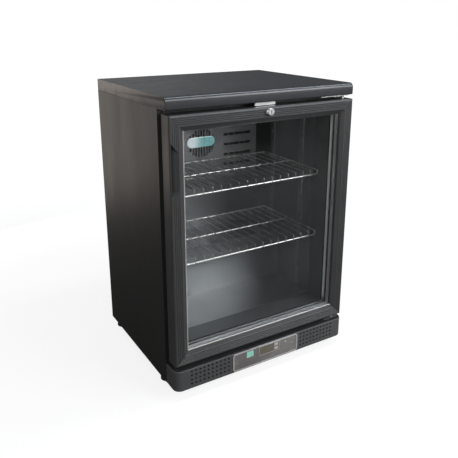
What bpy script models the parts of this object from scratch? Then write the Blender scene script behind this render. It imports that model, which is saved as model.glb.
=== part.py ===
"""Undercounter display refrigerator with one glass door.

Metres, +Z up. The origin is on the floor, under the middle of the cabinet. The front
faces -Y, and +X is to the right of someone who stands in front of it. Each sub-part is
one object in the collection "undercounter_refrigerator". Its cutters, and the shapes
that are united with it, are in the collection "cutters".
"""

import math

import bmesh
import bpy
from mathutils import Matrix, Vector

# Overall size
WIDTH = 0.600
DEPTH = 0.505
HEIGHT = 0.846
BACK = DEPTH / 2
FRONT = -DEPTH / 2
GAP = 0.0003  # between pieces that touch
SHEET = 0.0015  # steel sheet

# Levels above the floor
FOOT_HEIGHT = 0.030
PLINTH_TOP = 0.093
DOOR_BOTTOM = 0.105
DOOR_TOP = 0.801
WORKTOP_BOTTOM = 0.8125

# Planes across the depth
CABINET_FRONT = BACK - 0.440
BREAKER_FRONT = CABINET_FRONT - 0.003
DOOR_FRONT = FRONT + 0.008
DOOR_THICKNESS = 0.044
DOOR_BACK = DOOR_FRONT + DOOR_THICKNESS
PLINTH_FRONT = FRONT + 0.0025
REAR_GRILLE = BACK - 0.0125

# Cold compartment, inside the liner
ROOM_HALF_WIDTH = 0.258
ROOM_FLOOR = 0.140
ROOM_CEILING = 0.772
ROOM_BACK = 0.210
STEP_FRONT = 0.052
STEP_TOP = 0.310
LINER = 0.0012
RETURN_BACK = -0.1250  # back edge of the trim inside the mouth
FOAM_WALL = 0.040
FOAM_BOTTOM = 0.0976

# Door
DOOR_HALF_WIDTH = WIDTH / 2 - 0.005
FRAME_FACE = 0.040
HINGE_X = DOOR_HALF_WIDTH - 0.022
HINGE_Y = DOOR_FRONT + 0.022
PIN_RADIUS = 0.004
PIN_BORE = 0.0043
LOCK_X = 0.0
LOCK_Z = 0.788
LOCK_AXIS = (LOCK_X, DOOR_FRONT, LOCK_Z)
LOCK_CAM_FRONT = -0.2195
STRIKE_FRONT = -0.2225

# Control panel on the plinth
PANEL_HALF_WIDTH = 0.116
PANEL_BOTTOM = 0.0345
PANEL_TOP = 0.0915
DISPLAY_LOW = (-0.024, 0.060)  # X and Z
DISPLAY_HIGH = (0.046, 0.0875)
KEY_LOW_X, KEY_HIGH_X = 0.0290, 0.0430
KEY_HEIGHTS = {"button_down": (0.0625, 0.0715), "button_up": (0.0755, 0.0845)}
SWITCH_SIZE = (0.023, 0.019)
SWITCH_X = -0.057
SWITCH_Z = 0.076
SWITCH_PIVOT = (SWITCH_X, FRONT + 0.0068, SWITCH_Z)
SWITCH_TILT = 5.0  # degrees either way from level

# Air holes in the plinth
HOLE_RADIUS = 0.0034
HOLE_PITCH = 0.01335
HOLE_COLUMNS = 10
HOLE_ROWS = 4
ROW_PITCH = 0.0130
FIRST_HOLE_X = 0.130
FIRST_HOLE_Z = 0.0455

# Shelves
SHELF_LEVELS = {"shelf_upper": 0.576, "shelf_lower": 0.376}
SHELF_FRONT = -0.160
SHELF_BACK = 0.125
SHELF_HALF_WIDTH = 0.2445

# Refrigeration
EVAPORATOR_FRONT = 0.140
EVAPORATOR_FAN = (0.0, 0.1510, 0.632)
MACHINE_FLOOR = FOOT_HEIGHT + 0.0020
MACHINE_FRONT = STEP_FRONT + FOAM_WALL
MACHINE_TOP = STEP_TOP - FOAM_WALL
COMPRESSOR_X, COMPRESSOR_Y = 0.175, 0.162
COMPRESSOR_RADIUS = 0.062
CONDENSER_FAN = (-0.205, 0.170, 0.118)
PIPE_X, PIPE_Y, PIPE_Z = 0.060, 0.232, 0.710
GLAND_PLACE = (0.255, 0.060)  # X and Z

ROUND = 20  # sides of a middling round piece


def clear_scene():
    for obj in list(bpy.data.objects):
        bpy.data.objects.remove(obj, do_unlink=True)


def new_collection(name):
    collection = bpy.data.collections.new(name)
    bpy.context.scene.collection.children.link(collection)
    return collection


clear_scene()
PARTS = new_collection("undercounter_refrigerator")
CUTTERS = new_collection("cutters")


# ---------------------------------------------------------------- materials


def material(name, colour, roughness, metallic=0.0, transmission=0.0):
    made = bpy.data.materials.new(name)
    made.use_nodes = True
    shader = made.node_tree.nodes["Principled BSDF"]
    shader.inputs["Base Color"].default_value = (*colour, 1.0)
    shader.inputs["Roughness"].default_value = roughness
    shader.inputs["Metallic"].default_value = metallic
    shader.inputs["Transmission Weight"].default_value = transmission
    made.diffuse_color = (*colour, 1.0)
    return made


WORKTOP_FINISH = material("worktop_charcoal", (0.055, 0.058, 0.065), 0.38)
SIDE_PAINT = material("textured_black_paint", (0.050, 0.046, 0.042), 0.55)
DOOR_CHARCOAL = material("door_charcoal", (0.045, 0.045, 0.047), 0.42)
PLINTH_CHARCOAL = material("plinth_charcoal", (0.042, 0.042, 0.044), 0.50)
GALVANISED = material("galvanised_steel", (0.55, 0.56, 0.57), 0.40, 1.0)
ALUMINIUM = material("stucco_aluminium", (0.62, 0.63, 0.64), 0.32, 1.0)
ZINC = material("bright_zinc", (0.75, 0.75, 0.74), 0.25, 1.0)
CHROME = material("chrome_wire", (0.85, 0.85, 0.86), 0.12, 1.0)
COPPER = material("copper_tube", (0.72, 0.38, 0.22), 0.35, 1.0)
FOAM = material("insulation_foam", (0.78, 0.66, 0.42), 0.85)
GREY_VINYL = material("grey_vinyl", (0.23, 0.24, 0.25), 0.60)
BLACK_PLASTIC = material("black_plastic", (0.020, 0.020, 0.021), 0.45)
BLACK_ENAMEL = material("black_enamel", (0.015, 0.015, 0.016), 0.28)
WHITE_PLASTIC = material("white_plastic", (0.80, 0.80, 0.78), 0.40)
CLEAR_GLASS = material("clear_glass", (0.95, 0.98, 0.97), 0.02, 0.0, 1.0)
SILVER_PLASTIC = material("silver_plastic", (0.60, 0.59, 0.58), 0.30)
DISPLAY_BROWN = material("display_brown", (0.10, 0.06, 0.04), 0.20)
KEY_GREY = material("key_grey", (0.45, 0.44, 0.43), 0.45)
SWITCH_GREEN = material("switch_green", (0.05, 0.55, 0.33), 0.25)
BADGE_TEAL = material("badge_teal", (0.55, 0.78, 0.76), 0.35)


# ---------------------------------------------------------------- outlines


def arc(centre, radius, start, end, steps):
    """Points on an arc, angles in degrees, both ends included."""
    angles = [math.radians(start + (end - start) * i / steps) for i in range(steps + 1)]
    return [
        (centre[0] + radius * math.cos(a), centre[1] + radius * math.sin(a))
        for a in angles
    ]


def rectangle(low, high):
    return [low, (high[0], low[1]), high, (low[0], high[1])]


def rounded_rectangle(low, high, radius, steps=4):
    x0, y0 = low[0] + radius, low[1] + radius
    x1, y1 = high[0] - radius, high[1] - radius
    return (
        arc((x0, y0), radius, 180, 270, steps)
        + arc((x1, y0), radius, 270, 360, steps)
        + arc((x1, y1), radius, 0, 90, steps)
        + arc((x0, y1), radius, 90, 180, steps)
    )


def circle(centre, radius, sides):
    return arc(centre, radius, 0, 360 * (sides - 1) / sides, sides - 1)


# ---------------------------------------------------------------- builders


def finish(obj, finish_material, smooth=True):
    """Gives the object its material, and smooth shading with sharp edges over 35 degrees."""
    obj.data.materials.append(finish_material)
    if smooth and obj.type == "MESH" and len(obj.data.polygons):
        obj.data.shade_smooth()
        obj.data.set_sharp_from_angle(angle=math.radians(35))
    return obj


def hold(obj, parent):
    """Parents obj without moving it."""
    bpy.context.view_layer.update()
    obj.parent = parent
    obj.matrix_parent_inverse = parent.matrix_world.inverted()
    return obj


def axis_empty(name, place):
    empty = bpy.data.objects.new(name, None)
    empty.location = place
    empty.empty_display_size = 0.03
    PARTS.objects.link(empty)
    return empty


def from_bmesh(name, shape, place=(0, 0, 0)):
    bmesh.ops.recalc_face_normals(shape, faces=shape.faces)
    mesh = bpy.data.meshes.new(name)
    shape.to_mesh(mesh)
    shape.free()
    obj = bpy.data.objects.new(name, mesh)
    obj.location = place
    PARTS.objects.link(obj)
    return obj


def box(name, low, high, finish_material=None, bevel=0.0, segments=2):
    size = Vector(high) - Vector(low)
    shape = bmesh.new()
    bmesh.ops.create_cube(shape, size=1.0)
    bmesh.ops.scale(shape, vec=size, verts=shape.verts)
    obj = from_bmesh(name, shape, (Vector(low) + Vector(high)) / 2)
    if finish_material:
        finish(obj, finish_material)
    if bevel:
        add_bevel(obj, bevel, segments)
    return obj


def add_bevel(obj, width, segments=2, angle=40):
    bevel = obj.modifiers.new("rounded_edges", "BEVEL")
    bevel.width = width
    bevel.segments = segments
    bevel.limit_method = "ANGLE"
    bevel.angle_limit = math.radians(angle)
    return obj


AXIS_TURNS = {
    "X": Matrix(((0, 0, 1), (1, 0, 0), (0, 1, 0))),
    "Y": Matrix(((1, 0, 0), (0, 0, -1), (0, 1, 0))),
    "Z": Matrix.Identity(3),
}


def cylinder(name, axis, centre, radius, length, finish_material=None, sides=ROUND):
    shape = bmesh.new()
    bmesh.ops.create_cone(
        shape,
        cap_ends=True,
        segments=sides,
        radius1=radius,
        radius2=radius,
        depth=length,
    )
    bmesh.ops.rotate(shape, cent=(0, 0, 0), matrix=AXIS_TURNS[axis], verts=shape.verts)
    obj = from_bmesh(name, shape, centre)
    if finish_material:
        finish(obj, finish_material)
    return obj


def evaluated_mesh(obj, name):
    """The object's mesh as its modifiers make it, with its caps welded."""
    bpy.context.view_layer.update()
    graph = bpy.context.evaluated_depsgraph_get()
    mesh = bpy.data.meshes.new_from_object(obj.evaluated_get(graph), depsgraph=graph)
    mesh.name = name
    shape = bmesh.new()
    shape.from_mesh(mesh)
    bmesh.ops.remove_doubles(shape, verts=shape.verts, dist=1e-6)
    bmesh.ops.recalc_face_normals(shape, faces=shape.faces)
    shape.to_mesh(mesh)
    shape.free()
    return mesh


def prism(name, outline, axis, low, high, finish_material=None, holes=(), sharp=False):
    """A flat outline, with holes, extruded along an axis between two planes.

    The outline's two coordinates are the other two world axes, in X, Y, Z order.
    """
    curve = bpy.data.curves.new(name, "CURVE")
    curve.dimensions = "2D"
    curve.fill_mode = "BOTH"
    curve.extrude = (high - low) / 2
    for points in [outline, *holes]:
        spline = curve.splines.new("POLY")
        spline.points.add(len(points) - 1)
        for point, (u, v) in zip(spline.points, points):
            point.co = (u, v, 0, 1)
        spline.use_cyclic_u = True
    guide = bpy.data.objects.new(name, curve)
    PARTS.objects.link(guide)
    mesh = evaluated_mesh(guide, name)
    bpy.data.objects.remove(guide)
    bpy.data.curves.remove(curve)
    mesh.transform(AXIS_TURNS[axis].to_4x4())
    obj = bpy.data.objects.new(name, mesh)
    obj.location["XYZ".index(axis)] = (low + high) / 2
    PARTS.objects.link(obj)
    shape = bmesh.new()
    shape.from_mesh(mesh)
    bmesh.ops.dissolve_limit(
        shape, angle_limit=math.radians(1), verts=shape.verts, edges=shape.edges
    )
    bmesh.ops.recalc_face_normals(shape, faces=shape.faces)
    shape.to_mesh(mesh)
    shape.free()
    if finish_material:
        finish(obj, finish_material, smooth=not sharp)
    return obj


def turned(name, profile, place, finish_material, axis="Z", steps=ROUND):
    """A profile of (radius, height) points, top to bottom down its outer side, turned about an axis."""
    mesh = bpy.data.meshes.new(name)
    points = [(radius, 0, height) for radius, height in profile]
    edges = [(i, i + 1) for i in range(len(points) - 1)]
    if profile[0][0] > 0:
        edges.append((len(points) - 1, 0))
    mesh.from_pydata(points, edges, [])
    obj = bpy.data.objects.new(name, mesh)
    obj.location = place
    obj.rotation_euler = AXIS_TURNS[axis].to_euler()
    PARTS.objects.link(obj)
    obj.data.materials.append(finish_material)
    screw = obj.modifiers.new("turn", "SCREW")
    screw.steps = steps
    screw.render_steps = steps
    screw.use_merge_vertices = True
    screw.merge_threshold = 1e-5
    screw.use_smooth_shade = True
    return obj


def tube(name, points, radius, finish_material, sides=8, corner=0.0):
    """A round bar or pipe through these points, bent to the corner radius."""
    path = rounded_path(points, corner) if corner else points
    curve = bpy.data.curves.new(name, "CURVE")
    curve.dimensions = "3D"
    curve.bevel_depth = radius
    curve.bevel_resolution = sides // 2 - 2
    curve.use_fill_caps = True
    spline = curve.splines.new("POLY")
    spline.points.add(len(path) - 1)
    for point, place in zip(spline.points, path):
        point.co = (*place, 1)
    obj = bpy.data.objects.new(name, curve)
    PARTS.objects.link(obj)
    obj.data.materials.append(finish_material)
    return obj


def rounded_path(points, radius, steps=3):
    """The same route with each inner corner replaced by a quadratic bend."""
    route = [Vector(p) for p in points]
    path = [route[0]]
    for before, corner, after in zip(route, route[1:], route[2:]):
        start = corner + (before - corner).normalized() * radius
        end = corner + (after - corner).normalized() * radius
        for i in range(steps + 1):
            t = i / steps
            path.append(
                start * (1 - t) ** 2 + corner * 2 * t * (1 - t) + end * t**2
            )
    path.append(route[-1])
    return path


def as_mesh(obj):
    """The same shape as a plain mesh object, so that it can be cut, joined or copied."""
    mesh = evaluated_mesh(obj, obj.name)
    made = bpy.data.objects.new(obj.name, mesh)
    made.matrix_world = obj.matrix_world.copy()
    PARTS.objects.link(made)
    name = obj.name
    bpy.data.objects.remove(obj)
    made.name = name
    return made


def hide_as_helper(obj):
    for collection in list(obj.users_collection):
        collection.objects.unlink(obj)
    CUTTERS.objects.link(obj)
    obj.hide_render = True
    obj.display_type = "WIRE"
    return obj


def boolean(obj, other, operation):
    change = obj.modifiers.new(f"{operation.lower()}_{other.name}", "BOOLEAN")
    change.operation = operation
    change.solver = "EXACT"
    change.object = hide_as_helper(other)
    return obj


def cut(obj, *cutters):
    for cutter in cutters:
        boolean(obj, cutter, "DIFFERENCE")
    return obj


def join(obj, *others):
    for other in others:
        boolean(obj, other, "UNION")
    return obj


def merged(name, objects):
    """Separate shapes that don't meet, as one mesh object for use as a cutter."""
    shape = bmesh.new()
    for obj in objects:
        bpy.context.view_layer.update()
        copy = obj.data.copy()
        copy.transform(obj.matrix_world)
        shape.from_mesh(copy)
        bpy.data.meshes.remove(copy)
        bpy.data.objects.remove(obj)
    return from_bmesh(name, shape)


# ---------------------------------------------------------------- cabinet shell


def make_worktop():
    """A thick cap with a rounded nose and an upright front face."""
    front, nose_radius, heel_radius = -0.2360, 0.012, 0.003
    nose = arc((front + nose_radius, HEIGHT - nose_radius), nose_radius, 90, 180, 8)
    heel = arc((front + heel_radius, WORKTOP_BOTTOM + heel_radius), heel_radius, 180, 270, 3)
    outline = [*nose, *heel, (BACK, WORKTOP_BOTTOM), (BACK, HEIGHT)]
    worktop = prism(
        "worktop", outline, "X", -WIDTH / 2, WIDTH / 2, WORKTOP_FINISH
    )
    add_bevel(worktop, 0.0018, 2, 50)


def make_side_panel(name, side):
    """A steel skin with its front edge turned in."""
    outer = side * WIDTH / 2
    inner = outer - side * SHEET
    lip = outer - side * 0.013
    outline = [
        (outer, CABINET_FRONT),
        (lip, CABINET_FRONT),
        (lip, CABINET_FRONT + SHEET),
        (inner, CABINET_FRONT + SHEET),
        (inner, BACK),
        (outer, BACK),
    ]
    prism(name, outline, "Z", FOOT_HEIGHT, WORKTOP_BOTTOM - GAP, SIDE_PAINT)


def make_back_panel():
    box(
        "back_panel",
        (-WIDTH / 2 + SHEET + GAP, BACK - SHEET, 0.2725),
        (WIDTH / 2 - SHEET - GAP, BACK, WORKTOP_BOTTOM - GAP),
        GALVANISED,
    )


def make_base_pan():
    """A shallow steel tray that carries the compressor and takes the feet."""
    half = WIDTH / 2 - SHEET - GAP
    front, back = CABINET_FRONT + SHEET + GAP, BACK - SHEET - GAP
    bottom = FOOT_HEIGHT + 0.0002
    pan = box("base_pan", (-half, front, bottom), (half, back, 0.050), GALVANISED)
    hollow = box(
        "base_pan_hollow",
        (-half + SHEET, front + SHEET, bottom + SHEET),
        (half - SHEET, back + 0.01, 0.060),
    )
    holes = [
        cylinder("stud_hole", "Z", (x, y, 0.030), 0.0048, 0.02, sides=12)
        for x, y in foot_places()
    ]
    cut(pan, hollow, merged("stud_holes", holes))


def room_outline(grow, front):
    """The cold compartment's side view, with the step over the machine space, grown outwards."""
    return [
        (front, ROOM_FLOOR - grow),
        (STEP_FRONT + grow, ROOM_FLOOR - grow),
        (STEP_FRONT + grow, STEP_TOP - grow),
        (ROOM_BACK + grow, STEP_TOP - grow),
        (ROOM_BACK + grow, ROOM_CEILING + grow),
        (front, ROOM_CEILING + grow),
    ]


def pipe_hole(name):
    """Cutter for the suction pipe's way through the back wall."""
    return cylinder(name, "Y", (PIPE_X, 0.225, PIPE_Z), 0.0065, 0.06, sides=12)


def make_foam():
    """Foamed-in insulation: all that lies between the skins and the liner."""
    half = WIDTH / 2 - SHEET - GAP
    front, back = CABINET_FRONT + SHEET + GAP, BACK - SHEET - GAP
    top = WORKTOP_BOTTOM - 2 * GAP
    outline = [
        (front, FOAM_BOTTOM),
        (MACHINE_FRONT, FOAM_BOTTOM),
        (MACHINE_FRONT, MACHINE_TOP),
        (back, MACHINE_TOP),
        (back, top),
        (front, top),
    ]
    foam = prism("insulation_foam", outline, "X", -half, half, FOAM)
    grow = LINER + GAP
    room = prism(
        "foam_room",
        room_outline(grow, front - 0.02),
        "X",
        -ROOM_HALF_WIDTH - grow,
        ROOM_HALF_WIDTH + grow,
    )
    groove = box(
        "pipe_groove",
        (PIPE_X - 0.010, PIPE_Y - 0.007, MACHINE_TOP - 0.02),
        (PIPE_X + 0.010, back + 0.01, PIPE_Z + 0.012),
    )
    cut(foam, room, groove, pipe_hole("foam_pipe_hole"))


def make_liner():
    """The tub of the cold compartment, open at the front."""
    front = CABINET_FRONT + SHEET + 2 * GAP
    liner = prism(
        "inner_liner",
        room_outline(0, front),
        "X",
        -ROOM_HALF_WIDTH,
        ROOM_HALF_WIDTH,
        ALUMINIUM,
        sharp=True,
    )
    shape = bmesh.new()
    shape.from_mesh(liner.data)
    mouth = [f for f in shape.faces if f.normal.y < -0.9 and f.calc_center_median().y < -0.1]
    bmesh.ops.delete(shape, geom=mouth, context="FACES_ONLY")
    shape.to_mesh(liner.data)
    shape.free()
    wall = liner.modifiers.new("sheet", "SOLIDIFY")
    wall.thickness = LINER
    wall.offset = 1.0
    wall.use_even_offset = True
    cut(liner, pipe_hole("liner_pipe_hole"))


def make_breaker_frame():
    """The ring that the door gasket meets, with a thin return along the mouth's sides and floor."""
    half = WIDTH / 2 - 0.013 - GAP
    frame = prism(
        "breaker_frame",
        rectangle((-half, FOAM_BOTTOM), (half, WORKTOP_BOTTOM - 2 * GAP)),
        "Y",
        BREAKER_FRONT,
        CABINET_FRONT + SHEET,
        GREY_VINYL,
        holes=[
            rectangle((-ROOM_HALF_WIDTH, ROOM_FLOOR), (ROOM_HALF_WIDTH, ROOM_CEILING))
        ],
    )
    sheet = 0.0008
    outer, low = ROOM_HALF_WIDTH - GAP, ROOM_FLOOR + GAP
    inner, top = outer - sheet, ROOM_CEILING - 0.004
    # It starts inside the ring's edge, so that the two shapes overlap.
    outline = [
        (-outer, top),
        (-outer, low),
        (outer, low),
        (outer, top),
        (inner, top),
        (inner, low + sheet),
        (-inner, low + sheet),
        (-inner, top),
    ]
    mouth = prism("mouth_return", outline, "Y", BREAKER_FRONT, RETURN_BACK)
    tie_outline = [
        (-outer - 0.001, top),
        (-outer - 0.001, low - 0.001),
        (outer + 0.001, low - 0.001),
        (outer + 0.001, top),
        (inner, top),
        (inner, low + sheet),
        (-inner, low + sheet),
        (-inner, top),
    ]
    tie = prism(
        "mouth_tie", tie_outline, "Y", BREAKER_FRONT, CABINET_FRONT + SHEET - 0.0003
    )
    join(frame, tie, mouth)


def make_strike_plate():
    """An angle under the worktop. The lock's cam turns up behind its front lip."""
    half, lip_bottom, top = 0.033, 0.8028, WORKTOP_BOTTOM - GAP
    outline = [
        (STRIKE_FRONT, lip_bottom),
        (STRIKE_FRONT + SHEET, lip_bottom),
        (STRIKE_FRONT + SHEET, top - SHEET),
        (-0.1950, top - SHEET),
        (-0.1950, top),
        (STRIKE_FRONT, top),
    ]
    prism("lock_strike_plate", outline, "X", LOCK_X - half, LOCK_X + half, ZINC)


def make_hinge_brackets():
    """The flat irons that hold the door's two pins."""
    top_outline = [
        (0.186, HINGE_Y - 0.009),
        (0.290, HINGE_Y - 0.009),
        (0.290, -0.1950),
        (0.245, -0.1950),
        (0.245, HINGE_Y + 0.009),
        (0.186, HINGE_Y + 0.009),
    ]
    pin_hole = circle((HINGE_X, HINGE_Y), PIN_BORE, 16)
    top = WORKTOP_BOTTOM - GAP
    prism(
        "hinge_bracket_top", top_outline, "Z", top - 0.0025, top, ZINC, holes=[pin_hole]
    )
    bottom_outline = rounded_rectangle(
        (0.235, HINGE_Y - 0.013), (0.292, CABINET_FRONT - 0.0006), 0.006
    )
    prism(
        "hinge_bracket_bottom",
        bottom_outline,
        "Z",
        PLINTH_TOP + GAP,
        PLINTH_TOP + 0.0033,
        ZINC,
        holes=[pin_hole],
    )


def make_hinge_pins():
    place = (HINGE_X, HINGE_Y, 0)
    top, bottom = WORKTOP_BOTTOM - 0.001, 0.787
    turned(
        "hinge_pin_top",
        [(0, top), (PIN_RADIUS, top), (PIN_RADIUS, bottom), (0, bottom)],
        place,
        ZINC,
        steps=16,
    )
    collar_top, collar_bottom = DOOR_BOTTOM - 0.0005, PLINTH_TOP + 0.0036
    turned(
        "hinge_pin_bottom",
        [
            (0, 0.125),
            (PIN_RADIUS, 0.125),
            (PIN_RADIUS, collar_top),
            (0.0075, collar_top),
            (0.0075, collar_bottom),
            (PIN_RADIUS, collar_bottom),
            (PIN_RADIUS, PLINTH_TOP + 0.0006),
            (0, PLINTH_TOP + 0.0006),
        ],
        place,
        ZINC,
        steps=16,
    )


# ---------------------------------------------------------------- plinth and controls


def plinth_plan(inset):
    """Plan outline of the plinth: two rounded front corners, open towards the cabinet."""
    half = WIDTH / 2 - inset
    front = PLINTH_FRONT + inset
    radius = 0.022 - inset
    back = CABINET_FRONT - GAP if inset == 0 else CABINET_FRONT + 0.01
    return (
        [(-half, back)]
        + arc((-half + radius, front + radius), radius, 180, 270, 6)
        + arc((half - radius, front + radius), radius, 270, 360, 6)
        + [(half, back)]
    )


def make_plinth():
    """The moulded kick grille: a front with two fields of air holes, side returns and a top."""
    wall = 0.003
    plinth = prism(
        "plinth_grille", plinth_plan(0), "Z", FOOT_HEIGHT, PLINTH_TOP, PLINTH_CHARCOAL
    )
    add_bevel(plinth, 0.0022, 2, 50)
    hollow = prism(
        "plinth_hollow", plinth_plan(wall), "Z", FOOT_HEIGHT - 0.01, PLINTH_TOP - wall
    )
    window = box(
        "control_window",
        (-0.108, PLINTH_FRONT - 0.01, 0.042),
        (0.108, PLINTH_FRONT + 0.02, 0.088),
    )
    holes = []
    for side in (-1, 1):
        for column in range(HOLE_COLUMNS):
            for row in range(HOLE_ROWS):
                x = side * (FIRST_HOLE_X + column * HOLE_PITCH)
                z = FIRST_HOLE_Z + row * ROW_PITCH
                place = (x, PLINTH_FRONT, z)
                holes.append(cylinder("hole", "Y", place, HOLE_RADIUS, 0.02, sides=8))
    cut(plinth, hollow, window, merged("air_holes", holes))


def make_control_panel():
    """A dark face plate with openings for the display and the switch, in a clear-silver surround."""
    inset = 0.0034
    low = (-PANEL_HALF_WIDTH + inset, PANEL_BOTTOM + inset)
    high = (PANEL_HALF_WIDTH - inset, PANEL_TOP - inset)
    switch_half = (SWITCH_SIZE[0] / 2 + 0.0008, SWITCH_SIZE[1] / 2 + 0.0005)
    openings = [
        rectangle(
            (DISPLAY_LOW[0] - GAP, DISPLAY_LOW[1] - GAP),
            (DISPLAY_HIGH[0] + GAP, DISPLAY_HIGH[1] + GAP),
        ),
        rectangle(
            (SWITCH_X - switch_half[0], SWITCH_Z - switch_half[1]),
            (SWITCH_X + switch_half[0], SWITCH_Z + switch_half[1]),
        ),
    ]
    prism(
        "control_panel",
        rounded_rectangle(low, high, 0.004),
        "Y",
        FRONT + 0.0008,
        PLINTH_FRONT - GAP,
        BLACK_PLASTIC,
        holes=openings,
    )
    ring_gap = 0.0004
    prism(
        "control_bezel",
        rounded_rectangle(
            (-PANEL_HALF_WIDTH, PANEL_BOTTOM), (PANEL_HALF_WIDTH, PANEL_TOP), 0.0075
        ),
        "Y",
        FRONT,
        PLINTH_FRONT - GAP,
        SILVER_PLASTIC,
        holes=[
            rounded_rectangle(
                (low[0] - ring_gap, low[1] - ring_gap),
                (high[0] + ring_gap, high[1] + ring_gap),
                0.0044,
            )
        ],
    )


def make_temperature_display():
    """The thermostat: a window with two keys beside it, and its body behind the panel."""
    low_x, low_z = DISPLAY_LOW
    high_x, high_z = DISPLAY_HIGH
    display = box(
        "temperature_display",
        (low_x, FRONT + 0.0003, low_z),
        (high_x, FRONT + 0.045, high_z),
        DISPLAY_BROWN,
    )
    clearance = 0.0005
    for name, (bottom, top) in KEY_HEIGHTS.items():
        pocket = box(
            f"{name}_pocket",
            (KEY_LOW_X - clearance, FRONT - 0.005, bottom - clearance),
            (KEY_HIGH_X + clearance, FRONT + 0.006, top + clearance),
        )
        cut(display, pocket)


def make_keys():
    for name, (bottom, top) in KEY_HEIGHTS.items():
        key = box(
            name,
            (KEY_LOW_X, FRONT + 0.0001, bottom),
            (KEY_HIGH_X, FRONT + 0.0045, top),
            KEY_GREY,
        )
        add_bevel(key, 0.0005, 1)


def make_power_switch():
    """A rocker with a shallow V front, at rest with its left half pressed in."""
    half = SWITCH_SIZE[0] / 2
    front = -0.0055
    outline = [
        (-half, front),
        (0, front + 0.0008),
        (half, front),
        (half - 0.0010, 0.0040),
        (-half + 0.0010, 0.0040),
    ]
    height = SWITCH_SIZE[1] / 2
    rocker = prism("power_switch", outline, "Z", -height, height, SWITCH_GREEN)
    rocker.data.transform(Matrix.Rotation(math.radians(-SWITCH_TILT), 4, "Z"))
    rocker.location = SWITCH_PIVOT
    add_bevel(rocker, 0.0004, 1, 50)


# ---------------------------------------------------------------- door


def door_profile():
    """Section of a door frame member: across the face from the outer edge, and depth from the front.

    Written as (depth, -across), for a member that lies along X with its outer edge up.
    """
    groove_depth, groove_half = 0.0012, 0.0011
    section = arc((0.005, 0.005), 0.005, 180, 270, 4)
    for across in (0.0085, 0.0135, 0.0185, 0.0235):
        section += [
            (across - groove_half, 0.0),
            (across, groove_depth),
            (across + groove_half, 0.0),
        ]
    section += [
        (0.0285, 0.0),
        (0.0310, 0.0022),
        (0.0385, 0.0062),
        (FRAME_FACE, 0.0080),
        (FRAME_FACE, 0.0097),
        (0.0285, 0.0097),
        (0.0285, 0.0306),
        (FRAME_FACE, 0.0306),
        (FRAME_FACE, 0.0370),
        (0.0340, DOOR_THICKNESS),
        (0.0, DOOR_THICKNESS),
    ]
    return [(depth, -across) for across, depth in section]


def frame_member(name, length, place, turn):
    """A mitred length of the door profile. turn, about Y, sets which side of the door it is on."""
    member = prism(name, door_profile(), "X", -length / 2, length / 2)
    mitre_gap = 0.0002
    shape = bmesh.new()
    shape.from_mesh(member.data)
    for side in (-1, 1):
        kept = bmesh.ops.bisect_plane(
            shape,
            geom=list(shape.verts) + list(shape.edges) + list(shape.faces),
            plane_co=(side * (length / 2 - mitre_gap), 0, 0),
            plane_no=(side, 0, -1),
            clear_outer=True,
        )
        edges = [g for g in kept["geom_cut"] if isinstance(g, bmesh.types.BMEdge)]
        bmesh.ops.contextual_create(shape, geom=edges)
    bmesh.ops.recalc_face_normals(shape, faces=shape.faces)
    shape.to_mesh(member.data)
    shape.free()
    finish(member, DOOR_CHARCOAL)
    member.rotation_euler = (0, math.radians(turn), 0)
    member.location = place
    return member


def grip_cutter():
    """The finger pull's pocket: a ramp that gets deeper towards the door's outer edge."""
    outer, inner = -DOOR_HALF_WIDTH + 0.0035, -DOOR_HALF_WIDTH + 0.0245
    over = 0.004  # how far the cutter stands out of the door's face
    depth = 0.019
    mouth = [(outer, 0.7337), (outer, 0.5935), (inner, 0.7060), (inner, 0.6085)]
    floor = [(outer, 0.7230), (outer, 0.6040)]
    shape = bmesh.new()
    for x, z in mouth:
        shape.verts.new((x, DOOR_FRONT - over, z))
        shape.verts.new((x, DOOR_FRONT + 0.0005, z))
    for x, z in floor:
        shape.verts.new((x, DOOR_FRONT + depth, z))
    hull = bmesh.ops.convex_hull(shape, input=shape.verts)
    loose = [g for g in hull["geom_interior"] if isinstance(g, bmesh.types.BMVert)]
    bmesh.ops.delete(shape, geom=loose, context="VERTS")
    return from_bmesh("grip_pocket", shape)


def make_door_frame(door):
    """Four mitred members, drilled for the hinge pins, the lock and the closer bar."""
    middle = (DOOR_BOTTOM + DOOR_TOP) / 2
    width, height = 2 * DOOR_HALF_WIDTH, DOOR_TOP - DOOR_BOTTOM
    top = frame_member("door_rail_top", width, (0, DOOR_FRONT, DOOR_TOP), 0)
    bottom = frame_member("door_rail_bottom", width, (0, DOOR_FRONT, DOOR_BOTTOM), 180)
    left = frame_member(
        "door_stile_left", height, (-DOOR_HALF_WIDTH, DOOR_FRONT, middle), -90
    )
    right = frame_member(
        "door_stile_right", height, (DOOR_HALF_WIDTH, DOOR_FRONT, middle), 90
    )
    cut(
        top,
        cylinder(
            "top_pin_bore", "Z", (HINGE_X, HINGE_Y, 0.7965), PIN_BORE, 0.020, sides=16
        ),
        cylinder(
            "lock_bore",
            "Y",
            (LOCK_X, (DOOR_FRONT - 0.002 + LOCK_CAM_FRONT) / 2, LOCK_Z),
            0.0088,
            LOCK_CAM_FRONT - DOOR_FRONT + 0.002,
            sides=24,
        ),
        box(
            "cam_slot",
            (LOCK_X - 0.0078, LOCK_CAM_FRONT - 0.0006, LOCK_Z - 0.0078),
            (LOCK_X + 0.0225, LOCK_CAM_FRONT + 0.0026, DOOR_TOP + 0.01),
        ),
    )
    cut(
        bottom,
        cylinder(
            "bottom_pin_bore", "Z", (HINGE_X, HINGE_Y, 0.120), PIN_BORE, 0.050, sides=16
        ),
    )
    cut(
        right,
        cylinder(
            "closer_bore", "Z", (HINGE_X, HINGE_Y, 0.410), PIN_BORE, 0.590, sides=16
        ),
    )
    cut(left, grip_cutter())
    for member in (top, bottom, left, right):
        hold(member, door)


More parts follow.
